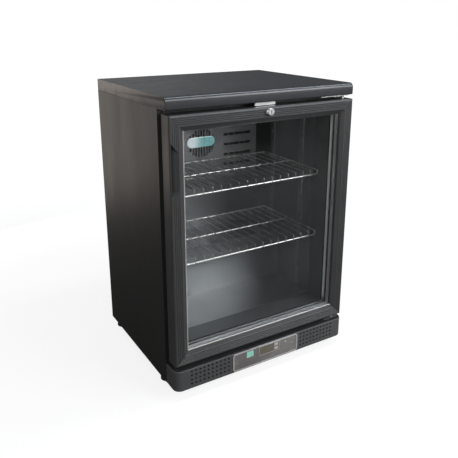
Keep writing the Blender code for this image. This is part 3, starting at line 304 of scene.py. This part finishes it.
def stucco_aluminium(name, colour, roughness):
    """Embossed aluminium sheet: soft irregular pillows about 5 mm across."""
    s = Shader(name)
    pillows = s.noise(230.0, 1.0, 0.4, 0.25)
    fine = s.noise(900.0, 2.0, 0.5)
    stains = s.noise(9.0, 4.0, 0.55, 0.2)
    tone = s.mix(s.remap(stains, 0.3, 0.75, 0.0, 1.0), colour, tuple(0.90 * c for c in colour))
    rough = s.math("ADD", s.remap(stains, 0.3, 0.7, roughness, roughness + 0.04), s.remap(fine, 0.3, 0.7, -0.02, 0.03))
    normal = s.bump(s.remap(pillows, 0.35, 0.65, 0.0, 1.0), 0.00030, 0.7)
    return s.finish(Base_Color=tone, Roughness=rough, Metallic=1.0, Normal=normal)


def clear_glass():
    """Thin float glass: a Fresnel mirror on its outer faces, and otherwise see-through."""
    s = Shader("clear_glass")
    s.tree.nodes.remove(s.principled)
    fresnel = s.add("ShaderNodeFresnel")
    fresnel.inputs["IOR"].default_value = 1.45
    facing = s.add("ShaderNodeNewGeometry").outputs["Backfacing"]
    share = s.math("MULTIPLY", fresnel.outputs[0], s.math("SUBTRACT", 1.0, facing))
    smear = s.noise(11.0, 4.0, 0.6, 0.5)
    gloss = s.add("ShaderNodeBsdfGlossy")
    s.feed(gloss.inputs["Color"], (0.95, 0.97, 0.97))
    s.feed(gloss.inputs["Roughness"], s.remap(smear, 0.45, 0.8, 0.012, 0.030))
    clear = s.add("ShaderNodeBsdfTransparent")
    clear.inputs["Color"].default_value = (0.970, 0.975, 0.973, 1.0)
    mixed = s.add("ShaderNodeMixShader")
    s.feed(mixed.inputs[0], share)
    s.feed(mixed.inputs[1], clear.outputs[0])
    s.feed(mixed.inputs[2], gloss.outputs[0])
    s.feed(s.output.inputs["Surface"], mixed.outputs[0])
    return s.material


def badge_enamel():
    """White to teal across the plate, under a clear coat."""
    s = Shader("badge_teal")
    cloud = s.noise(60.0, 3.0, 0.5)
    across = s.math("ADD", s.axis("X"), s.remap(cloud, 0.3, 0.7, -0.004, 0.004))
    colour = s.mix(s.remap(across, -0.226, -0.196, 0.0, 1.0), (0.52, 0.60, 0.62), (0.14, 0.31, 0.31))
    rough = s.remap(cloud, 0.3, 0.7, 0.22, 0.32)
    return s.finish(Base_Color=colour, Roughness=rough, Coat_Weight=0.3, Normal=s.bump(cloud, 0.00003))


def lit(name, colour, glow, strength):
    """A translucent plastic with a lamp behind it."""
    s = Shader(name)
    cloud = s.noise(220.0, 3.0, 0.5)
    tone = s.mix(s.remap(cloud, 0.3, 0.7, 0.0, 1.0), colour, tuple(0.88 * c for c in colour))
    return s.finish(
        Base_Color=tone,
        Roughness=s.remap(cloud, 0.3, 0.7, 0.25, 0.31),
        Emission_Color=glow,
        Emission_Strength=strength,
        Coat_Weight=0.4,
    )


WORKTOP = worktop_finish()
SIDE = side_paint()
RAIL = frame_plastic("door_charcoal_rail", (0.02, 1.0, 1.0))
# The bottom rail: the rail charcoal 1.6 times brighter (painted light), with painted shade on its inner bevel above
# RAIL_BEVEL.
RAIL_BEVEL = 0.0113
RAIL_LOW_PAINTED_LIGHT_AND_SHADE = frame_plastic(
    "door_charcoal_rail_low_painted_light_and_shade", (0.02, 1.0, 1.0), 1.6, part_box("door_rail_bottom")[1].z - RAIL_BEVEL
)
# The stiles: the same charcoal 1.3 times brighter than the top rail, which is painted light.
STILE_PAINTED_LIGHT = frame_plastic("door_charcoal_stile_painted_light", (1.0, 1.0, 0.02), 1.3)
PLINTH = plinth_plastic()
GASKET = gasket_vinyl()
BREAKER = breaker_vinyl()
BLACK = satin("black_moulding", (0.018, 0.018, 0.019), 0.45, 1200.0, 0.00004)
ENAMEL = satin("black_enamel", (0.012, 0.012, 0.013), 0.22, 400.0, 0.00003)
WHITE = satin("white_moulding", (0.62, 0.62, 0.60), 0.42, 1000.0, 0.00003, cloud=0.05)
FOAM = satin("insulation_foam", (0.55, 0.44, 0.24), 0.85, 500.0, 0.0003)
KEY = satin("key_grey", (0.42, 0.40, 0.38), 0.40, 1400.0, 0.00002)
PANEL = satin("panel_smoke", (0.180, 0.168, 0.162), 0.22, 260.0, 0.00004, cloud=0.28)
BEZEL = satin("panel_bezel", (0.44, 0.42, 0.41), 0.22, 900.0, 0.00001)
DISPLAY = satin("display_brown", (0.150, 0.132, 0.105), 0.16, 900.0, 0.00001)
BADGE = badge_enamel()
# painted highlight: the light grey of the glazing strip at the left and the bottom
PAINTED_HIGHLIGHT = satin("bead_painted_highlight", (0.46, 0.44, 0.42), 0.30, 1200.0, 0.00001, cloud=0.05)
FILTER = satin("filter_foam", (0.006, 0.006, 0.006), 0.9, 700.0, 0.0006, specular=0.2)
LENS = satin("indicator_lens", (0.62, 0.60, 0.58), 0.2, 900.0, 0.00001, cloud=0.05)
ALUMINIUM = stucco_aluminium("stucco_aluminium", (0.36, 0.36, 0.37), 0.36)
SPACER = metal("spacer_aluminium", (0.70, 0.70, 0.71), 0.46, wear=0.04, depth=0.000004, scale=500.0)
GALVANISED = metal("galvanised_steel", (0.46, 0.47, 0.48), 0.42, wear=0.25, scale=60.0)
ZINC = metal("bright_zinc", (0.68, 0.67, 0.66), 0.28, wear=0.04)
CHROME = metal("bright_wire", (0.74, 0.73, 0.72), 0.24, wear=0.06, depth=0.000002)
COPPER = metal("copper_tube", (0.62, 0.30, 0.18), 0.34, wear=0.3)
FIN = metal("fin_aluminium", (0.55, 0.56, 0.57), 0.38)
GREEN = lit("switch_green", (0.22, 0.46, 0.38), (0.24, 0.62, 0.48), 0.32)
LAMP = lit("lamp_lens", (0.80, 0.80, 0.76), (1.0, 0.93, 0.82), 2.5)
GLASS = clear_glass()

LOOKS = {
    WORKTOP: ["worktop"],
    SIDE: ["side_panel_left", "side_panel_right"],
    RAIL: ["door_rail_top"],
    RAIL_LOW_PAINTED_LIGHT_AND_SHADE: ["door_rail_bottom"],
    STILE_PAINTED_LIGHT: ["door_stile_left", "door_stile_right"],
    PLINTH: ["plinth_grille"],
    GASKET: ["door_gasket"],
    BREAKER: ["breaker_frame"],
    BLACK: [
        "cable_gland",
        "condenser_fan_motor",
        "evaporator_fan_motor",
        "evaporator_fan_blade",
        "drip_tray",
        "foot_left_front",
        "foot_left_rear",
        "foot_right_front",
        "foot_right_rear",
    ],
    ENAMEL: ["compressor"],
    WHITE: ["light_housing"],
    LAMP: ["light_lens"],
    FOAM: ["insulation_foam"],
    KEY: ["button_up", "button_down"],
    PANEL: ["control_panel"],
    BEZEL: ["control_bezel"],
    DISPLAY: ["temperature_display"],
    GREEN: ["power_switch"],
    BADGE: ["door_badge"],
    ALUMINIUM: ["inner_liner", "evaporator_cover"],
    SPACER: ["glass_spacer"],
    GALVANISED: [
        "back_panel",
        "base_pan",
        "rear_grille",
        "condenser_shroud",
        "pilaster_left_front",
        "pilaster_left_rear",
        "pilaster_right_front",
        "pilaster_right_rear",
    ],
    ZINC: [
        "lock_strike_plate",
        "hinge_bracket_top",
        "hinge_bracket_bottom",
        "hinge_pin_top",
        "hinge_pin_bottom",
        "lock_housing",
        "lock_cam",
        "lock_plug",
        "closer_torsion_bar",
    ],
    CHROME: ["shelf_upper", "shelf_lower"],
    COPPER: ["filter_drier", "discharge_pipe", "suction_pipe"],
    FIN: ["condenser_coil", "evaporator_coil", "condenser_fan_blade"],
    GLASS: ["glass_outer", "glass_inner"],
}
for look, names in LOOKS.items():
    for name in names:
        NODES[name].data.materials.clear()
        NODES[name].data.materials.append(look)

# ---------------------------------------------------------------- piece helpers


def piece(name, shape, look, body, smooth=35.0):
    """Makes an object of a bmesh, finishes it and lets it ride on its body."""
    bmesh.ops.recalc_face_normals(shape, faces=shape.faces)
    mesh = bpy.data.meshes.new(name)
    shape.to_mesh(mesh)
    shape.free()
    mesh.shade_smooth()
    mesh.set_sharp_from_angle(angle=math.radians(smooth))
    mesh.materials.append(look)
    obj = bpy.data.objects.new(name, mesh)
    bpy.context.scene.collection.objects.link(obj)
    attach(obj, body)
    return obj


def arc(centre, radius, start, end, steps):
    """Points on a circle from the start angle to the end angle, in degrees."""
    angles = [math.radians(start + (end - start) * i / steps) for i in range(steps + 1)]
    return [(centre[0] + radius * math.cos(a), centre[1] + radius * math.sin(a)) for a in angles]


def oval(low, high, radius, steps=5):
    """A rounded rectangle's outline, anticlockwise."""
    x0, y0 = low[0] + radius, low[1] + radius
    x1, y1 = high[0] - radius, high[1] - radius
    corners = ((x0, y0, 180), (x1, y0, 270), (x1, y1, 0), (x0, y1, 90))
    return [p for x, y, start in corners for p in arc((x, y), radius, start, start + 90, steps)]


def skin(shape, rings, closed_path=False):
    """Joins rings of points of equal length with quads, and caps the ends of a path that isn't closed."""
    made = [[shape.verts.new(p) for p in ring] for ring in rings]
    pairs = list(zip(made, made[1:])) + ([(made[-1], made[0])] if closed_path else [])
    count = len(made[0])
    for a, b in pairs:
        for i in range(count):
            j = (i + 1) % count
            shape.faces.new((a[i], a[j], b[j], b[i]))
    if not closed_path:
        shape.faces.new(made[0][::-1])
        shape.faces.new(made[-1])


def circle(centre, radius, across, up, sides):
    """Points on a circle whose plane holds the two unit vectors."""
    angles = [2 * math.pi * k / sides for k in range(sides)]
    return [centre + radius * (across * math.cos(a) + up * math.sin(a)) for a in angles]


def rod(shape, path, radius, sides=12):
    """A round wire through the points, with caps."""
    route = [Vector(p) for p in path]
    tangents = []
    for i in range(len(route)):
        before = (route[i] - route[i - 1]).normalized() if i else None
        after = (route[i + 1] - route[i]).normalized() if i < len(route) - 1 else None
        tangents.append(((before or after) + (after or before)).normalized())
    across = tangents[0].orthogonal().normalized()
    rings = []
    for point, tangent in zip(route, tangents):
        across = (across - tangent * across.dot(tangent)).normalized()
        rings.append(circle(point, radius, across, tangent.cross(across), sides))
    skin(shape, rings)


def bent(points, radius, steps=5):
    """The same route with its corners rounded."""
    route = [Vector(p) for p in points]
    path = [route[0]]
    for before, corner, after in zip(route, route[1:], route[2:]):
        start = corner + (before - corner).normalized() * radius
        end = corner + (after - corner).normalized() * radius
        for i in range(steps + 1):
            t = i / steps
            path.append(start * (1 - t) ** 2 + corner * 2 * t * (1 - t) + end * t**2)
    return path + [route[-1]]


def turned(shape, profile, place, axis, sides=24):
    """A profile of (radius, height) turned about an axis through place; height runs along the axis."""
    axis = Vector(axis)
    across = axis.orthogonal().normalized()
    up = axis.cross(across)
    place, least = Vector(place), 1e-5
    skin(shape, [circle(place + axis * height, max(radius, least), across, up, sides) for radius, height in profile])


def block(shape, low, high, bevel=0.0005):
    """A box with rounded edges, added to the shape."""
    low, high = Vector(low), Vector(high)
    made = bmesh.ops.create_cube(shape, size=1.0)["verts"]
    bmesh.ops.scale(shape, vec=high - low, verts=made)
    bmesh.ops.translate(shape, vec=(low + high) / 2, verts=made)
    edges = list({e for v in made for e in v.link_edges})
    bmesh.ops.bevel(shape, geom=edges, offset=bevel, segments=2, profile=0.5, affect="EDGES")


def loop_frame(shape, half_x, low_z, high_z, section):
    """A mitred frame in the XZ plane: section is (inset from the outer rectangle, y) points, closed."""
    rings = []
    for sx, sz in ((-1, -1), (1, -1), (1, 1), (-1, 1)):
        z0 = low_z if sz < 0 else high_z
        rings.append([Vector((sx * (half_x - inset), y, z0 - sz * inset)) for inset, y in section])
    skin(shape, rings, closed_path=True)


PAN_HEAD = [(0.0, 0.0), (1.0, 0.0), (1.0, 0.28), (0.82, 0.56), (0.45, 0.70), (0.30, 0.70), (0.26, 0.42), (0.0, 0.42)]


def screws(name, places, axis, radius):
    """Pan-head screws with a recess on the cabinet, their heads standing on these places along the axis."""
    shape = bmesh.new()
    for place in places:
        turned(shape, [(radius * r, radius * h) for r, h in PAN_HEAD], place, axis, 20)
    piece(name, shape, ZINC, "cabinet")


# ---------------------------------------------------------------- shelves


def make_shelf(name):
    """The wire shelf in fine round rods, over its CAD node, and the four clips that carry it."""
    low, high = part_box(name)
    rim, wire, front_rim = 0.0025, 0.0014, 0.0031
    sunk, drop, middle = 0.0009, 0.013, -0.020
    above = rim + wire - sunk
    level = high.z - wire - above
    left, right = low.x + rim, high.x - rim
    back, front = high.y - rim, low.y + wire + above
    shape = bmesh.new()
    for y, z, radius in ((back, level, rim), (middle, level, rim), (front, level - drop, front_rim)):
        rod(shape, [(left, y, z), (right, y, z)], radius, 16)
    for x in (left, right):
        rod(shape, bent([(x, back, level), (x, front, level), (x, front, level - drop)], 0.004), rim, 14)
    wires = 16
    for i in range(1, wires + 1):
        x = left + (right - left) * i / (wires + 1)
        route = [(x, back - 0.001, level + above), (x, front - above, level + above)]
        route.append((x, front - above, level - drop - 0.001))
        rod(shape, bent(route, 0.0035), wire, 10)
    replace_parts(piece(name + "_wires", shape, CHROME, "cabinet", 50), name)
    wall, tip, thick, half = 0.2546, 0.2420, 0.0012, 0.0045
    clips = bmesh.new()
    strips = (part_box("pilaster_left_front"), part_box("pilaster_left_rear"))
    for side in (-1, 1):
        for y in [(first.y + last.y) / 2 for first, last in strips]:
            for near, far, base, top, bevel in (
                (tip, wall, -0.0044, -0.0028, 0.0005),
                (wall - thick, wall, -0.0135, -0.0030, 0.0003),
                (tip - thick, tip, -0.0044, 0.0004, 0.0003),
            ):
                x0, x1 = sorted((side * near, side * far))
                block(clips, (x0, y - half, level + base), (x1, y + half, level + top), bevel)
    piece(name + "_clips", clips, ZINC, "cabinet")


# ---------------------------------------------------------------- door pieces


def make_glazing_bead():
    """A dark bead all round the outer pane, and over it a light grey strip at the left and the bottom only: a painted
    highlight where the rounded edge catches the light.
    """
    half = -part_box("door_stile_left")[1].x
    low_z, high_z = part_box("door_rail_bottom")[1].z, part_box("door_rail_top")[0].z
    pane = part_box("glass_outer")[0].y - 0.0002
    radius = 0.0011
    section = [(x, pane + h) for x, h in arc((radius - 0.0002, -0.0006), radius, 180, 360, 7)]
    section += [(2 * radius - 0.0002, pane), (-0.0002, pane)]
    bead = bmesh.new()
    loop_frame(bead, half, low_z, high_z, section)
    piece("glazing_bead", bead, BLACK, "door", 60)
    # painted highlight: the light strip runs only along the left and the bottom
    profile = [(0.0000, -0.0030), (0.0005, -0.0033), (0.0019, -0.0030), (0.0024, -0.0024), (0.0024, -0.0001)]
    profile.append((0.0000, -0.0001))
    corner = [Vector((-half + inset, pane + y, low_z + inset)) for inset, y in profile]
    top = [Vector((p.x, p.y, high_z - 0.0002)) for p in corner]
    end = [Vector((half - 0.0002, p.y, p.z)) for p in corner]
    highlight_strip = bmesh.new()
    skin(highlight_strip, [top, corner, end])
    piece("glazing_painted_highlight", highlight_strip, PAINTED_HIGHLIGHT, "door", 50)


def make_gasket():
    """The magnetic seal: a dart strip on the door, a folded bellows and a soft magnet pocket."""
    low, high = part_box("door_gasket")
    front, depth = low.y, high.y - low.y
    outer = [(0.0, 0.0), (0.0, 0.10), (0.10, 0.20), (0.02, 0.34), (0.10, 0.48), (0.0, 0.58), (0.0, 0.92), (0.08, 1.0)]
    section = outer + [(1.0 - inset, share) for inset, share in reversed(outer)]
    shape = bmesh.new()
    ring = [(inset * GASKET_WIDTH, front + share * depth) for inset, share in section]
    loop_frame(shape, high.x, low.z, high.z, ring)
    gasket = piece("gasket_bellows", shape, GASKET, "door", 50)
    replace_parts(gasket, "door_gasket")


def make_badge():
    """A domed oval plate without lettering."""
    low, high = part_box("door_badge")
    y_back, y_face = high.y, low.y
    rings = []
    for inset, share in ((0.0, 0.0), (0.0, 0.45), (0.0008, 0.80), (0.0022, 0.93), (0.0060, 1.0)):
        outline = oval((low.x + inset, low.z + inset), (high.x - inset, high.z - inset), 0.0125 - inset * 0.9, 8)
        rings.append([Vector((x, y_back + (y_face - y_back) * share, z)) for x, z in outline])
    shape = bmesh.new()
    skin(shape, rings)
    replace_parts(piece("badge_plate", shape, BADGE, "door", 60), "door_badge")


# ---------------------------------------------------------------- cabinet pieces


def make_worktop():
    """The cap in one smooth sweep along its width, with a fine eased edge at each end."""
    low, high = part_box("worktop")
    nose, heel, ease = 0.0120, 0.0030, 0.0012

    def outline(inset):
        front = low.y + inset
        points = arc((front + nose, high.z - inset - nose), nose, 90, 180, 20)
        points += arc((front + heel, low.z + inset + heel), heel, 180, 270, 6)
        points += arc((high.y - inset - ease, low.z + inset + ease), ease, 270, 360, 3)
        points += arc((high.y - inset - ease, high.z - inset - ease), ease, 0, 90, 3)
        return points

    ends = [(ease, 0.0), (0.0004, 0.0003), (0.0, ease)]
    rings = [[Vector((low.x + along, y, z)) for y, z in outline(inset)] for inset, along in ends]
    rings += [[Vector((high.x - along, y, z)) for y, z in outline(inset)] for inset, along in ends[::-1]]
    shape = bmesh.new()
    skin(shape, rings)
    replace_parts(piece("worktop_cap", shape, WORKTOP, "cabinet", 19), "worktop")


def make_plinth_filters():
    """Black open-cell dust filters behind the two fields of air holes."""
    wall, thick = 0.0037, 0.0022
    inner, outer, bottom, top = 0.1205, 0.2640, 0.0365, 0.0890
    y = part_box("plinth_grille")[0].y + wall
    for side, side_name in ((-1, "left"), (1, "right")):
        shape = bmesh.new()
        x0, x1 = sorted((side * inner, side * outer))
        block(shape, (x0, y, bottom), (x1, y + thick, top), 0.0006)
        piece("air_filter_" + side_name, shape, FILTER, "cabinet")


def make_panel_details():
    """Screws, the two indicator lenses and the fine frame of the display window."""
    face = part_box("control_panel")[0].y
    out = (0, -1, 0)
    screws("panel_screws", [(-0.1000, face, 0.0765), (-0.1045, face, 0.0590)], out, 0.0023)
    shape = bmesh.new()
    dome = [(0.0, 0.0), (0.0024, 0.0), (0.0024, 0.0002), (0.0019, 0.0005), (0.0011, 0.00065), (0.0, 0.0007)]
    for width, x, z in ((1.0, 0.0710, 0.0775), (0.6, 0.0960, 0.0680)):
        turned(shape, [(radius * width, height) for radius, height in dome], (x, face, z), out)
    piece("panel_indicators", shape, LENS, "cabinet")
    low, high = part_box("temperature_display")
    y, lap, width = low.y - 0.0001, 0.0012, 0.0013
    section = [(0.0, face), (0.0, y), (width, y), (width, face)]
    ring = bmesh.new()
    loop_frame(ring, (high.x - low.x) / 2 + lap, low.z - lap, high.z + lap, section)
    bmesh.ops.translate(ring, vec=((low.x + high.x) / 2, 0, 0), verts=ring.verts)
    piece("display_surround", ring, BEZEL, "cabinet")


def make_hinge_screws():
    """Four screws under the upper hinge iron, and two on top of the lower one."""
    under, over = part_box("hinge_bracket_top")[0].z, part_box("hinge_bracket_bottom")[1].z
    row_y, column_x = -0.2215, 0.244
    screws("hinge_screws_top", [(x, row_y, under) for x in (0.196, 0.213, 0.230, 0.247)], (0, 0, -1), 0.0036)
    screws("hinge_screws_bottom", [(column_x, y, over) for y in (-0.215, -0.198)], (0, 0, 1), 0.0034)


def make_back_details():
    """Screws round the back panel and its grille, the hem between them, and hoods over the grille's slots."""
    low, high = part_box("back_panel")
    inset, corner, drop, sunk = 0.012, 0.018, 0.014, 0.0018
    edge, outside = low.z, high.y
    seat = outside - sunk
    places = []
    for i in range(4):
        x = low.x + corner + (high.x - low.x - 2 * corner) * i / 3
        places += [(x, seat, z) for z in (low.z + inset, high.z - drop)]
    for i in range(1, 4):
        z = low.z + (high.z - low.z) * i / 4
        places += [(x, seat, z) for x in (low.x + inset, high.x - inset)]
    out, head = (0, 1, 0), 0.0034
    screws("back_screws", places, out, head)
    low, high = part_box("rear_grille")
    columns, rows = (low.x + inset, 0.0, high.x - inset), (low.z + inset, high.z - inset)
    screws("grille_screws", [(x, high.y, z) for x in columns for z in rows], out, head)
    hem = bmesh.new()
    block(hem, (low.x, outside + 0.0001, edge - 0.0060), (high.x, outside + 0.0009, edge + 0.0050), 0.0003)
    piece("back_hem", hem, GALVANISED, "cabinet")
    first_slot, slot_pitch, slot_inner, slot_outer = 0.085, 0.024, 0.030, 0.260
    lip = [(0.0, 0.0125), (0.0, 0.0095), (0.0055, 0.0010), (0.0066, 0.0014), (0.0016, 0.0110)]
    hoods = bmesh.new()
    for side in (-1, 1):
        for row in range(7):
            z = first_slot + row * slot_pitch
            x0, x1 = sorted((side * slot_inner, side * slot_outer))
            rings = []
            for x, share in ((x0 - 0.001, 0.0), (x0 + 0.005, 1.0), (x1 - 0.005, 1.0), (x1 + 0.001, 0.0)):
                rings.append([Vector((x, high.y + 0.0001 + y * (0.12 + 0.88 * share), z + h)) for y, h in lip])
            skin(hoods, rings)
    piece("grille_hoods", hoods, GALVANISED, "cabinet", 50)


def make_machine_details():
    """The compressor's weld seam, process tail and relay cover, and the liquid line with its capillary."""
    low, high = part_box("compressor")
    x, y = (low.x + high.x) / 2, (low.y + high.y) / 2
    shape = bmesh.new()
    seam_height, shell_top = 0.128, 0.185
    seam = [(0.0610, -0.0030), (0.0632, -0.0026), (0.0640, 0.0), (0.0632, 0.0026), (0.0610, 0.0030)]
    turned(shape, seam, (x, y, seam_height), (0, 0, 1), 48)
    tail_x, tail_y = x + 0.030, y - 0.030
    tail = [(tail_x, tail_y, shell_top), (tail_x, tail_y, 0.192), (tail_x, y - 0.046, 0.1935)]
    rod(shape, bent(tail, 0.003), 0.0022)
    piece("compressor_seam", shape, ENAMEL, "cabinet", 50)
    cover = bmesh.new()
    block(cover, (x + 0.0555, y - 0.024, 0.080), (x + 0.0850, y + 0.024, 0.136), 0.004)
    piece("relay_cover", cover, BLACK, "cabinet")
    line = bmesh.new()
    liquid = [
        (-0.245, 0.226, 0.062),
        (-0.245, 0.2368, 0.062),
        (-0.212, 0.2368, 0.062),
        (-0.150, 0.215, 0.070),
        (-0.077, 0.205, 0.085),
    ]
    rod(line, bent(liquid, 0.006), 0.0016)
    capillary = [(0.018, 0.205, 0.085), (0.040, 0.212, 0.095), (0.050, 0.2305, 0.130), (0.0525, 0.2330, 0.2550)]
    rod(line, bent(capillary, 0.010), 0.0011)
    piece("liquid_line", line, COPPER, "cabinet", 50)


def make_evaporator_details():
    """Cover screws, and a temperature probe with its clip under the louvres."""
    low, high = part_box("evaporator_cover")
    inset, head = 0.012, 0.0032
    corners = [(x, low.y, z) for x in (low.x + inset, high.x - inset) for z in (low.z + inset, high.z - inset)]
    screws("cover_screws", corners, (0, -1, 0), head)
    probe = bmesh.new()
    y, z = low.y - 0.0032, low.z + 0.012
    rod(probe, [(-0.064, y, z), (-0.040, y, z)], 0.0024)
    lead = [(-0.040, y, z), (-0.030, y, z), (-0.026, y, z - 0.006), (-0.026, low.y + 0.004, z - 0.016)]
    rod(probe, bent(lead, 0.003), 0.0012)
    block(probe, (-0.0545, y - 0.0028, z - 0.0034), (-0.0500, low.y - 0.0002, z + 0.0034), 0.0006)
    piece("sensor_probe", probe, ZINC, "cabinet", 50)


make_shelf("shelf_upper")
make_shelf("shelf_lower")
make_glazing_bead()
make_gasket()
make_badge()
make_worktop()
make_plinth_filters()
make_panel_details()
make_hinge_screws()
make_back_details()
make_machine_details()
make_evaporator_details()

# ---------------------------------------------------------------- stage, light, camera


def make_floor():
    """A pale floor that fades to white with distance, and is dark to everything but the camera."""
    bpy.ops.mesh.primitive_plane_add(size=40)
    floor = bpy.context.object
    floor.name = "studio_floor"
    s = Shader("floor_pale")
    tone = s.noise(0.8, 3.0, 0.5)
    colour = s.mix(s.remap(tone, 0.3, 0.7, 0.0, 1.0), (0.16, 0.16, 0.16), (0.18, 0.18, 0.18))
    seen = s.add("ShaderNodeLightPath").outputs["Is Camera Ray"]
    length = s.add("ShaderNodeVectorMath", operation="LENGTH")
    s.feed(length.inputs[0], s.position)
    glow = s.remap(length.outputs["Value"], 0.5, 3.2, 0.84, 1.0)
    s.finish(
        Base_Color=s.mix(seen, (0.10, 0.10, 0.10), colour),
        Roughness=0.9,
        Specular_IOR_Level=0.0,
        Emission_Color=(1.0, 1.0, 1.0),
        Emission_Strength=s.math("MULTIPLY", seen, glow),
    )
    floor.data.materials.append(s.material)


def make_world():
    """White to the camera. To everything else a dim grey, which falls off to the right behind the object."""
    world = bpy.data.worlds.new("studio")
    world.use_nodes = True
    tree = world.node_tree
    background = tree.nodes["Background"]
    direction = tree.nodes.new("ShaderNodeTexCoord")
    split = tree.nodes.new("ShaderNodeSeparateXYZ")
    tree.links.new(direction.outputs["Generated"], split.inputs[0])

    def ramp(axis, low, high, to_low, to_high):
        node = tree.nodes.new("ShaderNodeMapRange")
        for key, value in zip(RANGE_KEYS, (low, high, to_low, to_high)):
            node.inputs[key].default_value = value
        tree.links.new(split.outputs[axis], node.inputs["Value"])
        return node.outputs["Result"]

    def blend(factor, low, high):
        node = tree.nodes.new("ShaderNodeMix")
        node.data_type = "RGBA"
        tree.links.new(factor, node.inputs[0])
        for socket, value in ((node.inputs[6], low), (node.inputs[7], high)):
            if isinstance(value, tuple):
                socket.default_value = value
            else:
                tree.links.new(value, socket)
        return node.outputs[2]

    behind = ramp("X", 0.33, 0.56, 0.37, 0.09)
    before = ramp("X", 0.10, 0.80, 0.22, 0.14)
    around = blend(ramp("Y", -0.15, 0.15, 0.0, 1.0), before, behind)
    seen = tree.nodes.new("ShaderNodeLightPath").outputs["Is Camera Ray"]
    tree.links.new(blend(seen, around, (1.0, 1.0, 1.0, 1.0)), background.inputs["Color"])
    bpy.context.scene.world = world


def softbox(name, place, target, size, power, colour=(1.0, 1.0, 1.0)):
    """A rectangular area light at the place, turned to the target."""
    data = bpy.data.lights.new(name, "AREA")
    data.shape = "RECTANGLE"
    data.size, data.size_y = size
    data.energy = power
    data.color = colour
    light = bpy.data.objects.new(name, data)
    light.location = place
    light.rotation_euler = (Vector(target) - Vector(place)).to_track_quat("-Z", "Y").to_euler()
    light.visible_camera = False
    bpy.context.scene.collection.objects.link(light)


def make_camera():
    """The camera: from the left front and above, with a small upward shift of the frame's content."""
    data = bpy.data.cameras.new("camera")
    data.sensor_width = 36.0
    data.lens = 44.72
    data.shift_y = -0.095
    data.clip_end = 60.0
    camera = bpy.data.objects.new("camera", data)
    azimuth, elevation = math.radians(-31.13), math.radians(16.53)
    back = Vector(
        (
            math.sin(azimuth) * math.cos(elevation),
            -math.cos(azimuth) * math.cos(elevation),
            math.sin(elevation),
        )
    )
    camera.location = (-0.8690, -1.4742, 1.0294)
    camera.rotation_euler = (-back).to_track_quat("-Z", "Y").to_euler()
    bpy.context.scene.collection.objects.link(camera)
    bpy.context.scene.camera = camera


make_floor()
make_world()
softbox("key", (1.5, -2.4, 1.7), (0, 0, 0.45), (1.8, 1.6), 76.0, (0.95, 0.975, 1.0))
softbox("fill", (-1.8, -2.2, 1.3), (0, 0, 0.4), (1.6, 1.2), 20.0)
softbox("nose_strip", (1.15, -0.48, 2.5), (1.15, -0.43, 0.8), (3.2, 0.3), 44.0, (0.82, 0.89, 1.0))
softbox("side_card", (-0.60, 1.35, 0.59), (-0.3, 0.0, 0.48), (0.95, 1.04), 3.8, (1.0, 0.90, 0.82))
make_camera()

bpy.context.scene.view_settings.view_transform = "Standard"
bpy.context.scene.view_settings.look = "None"
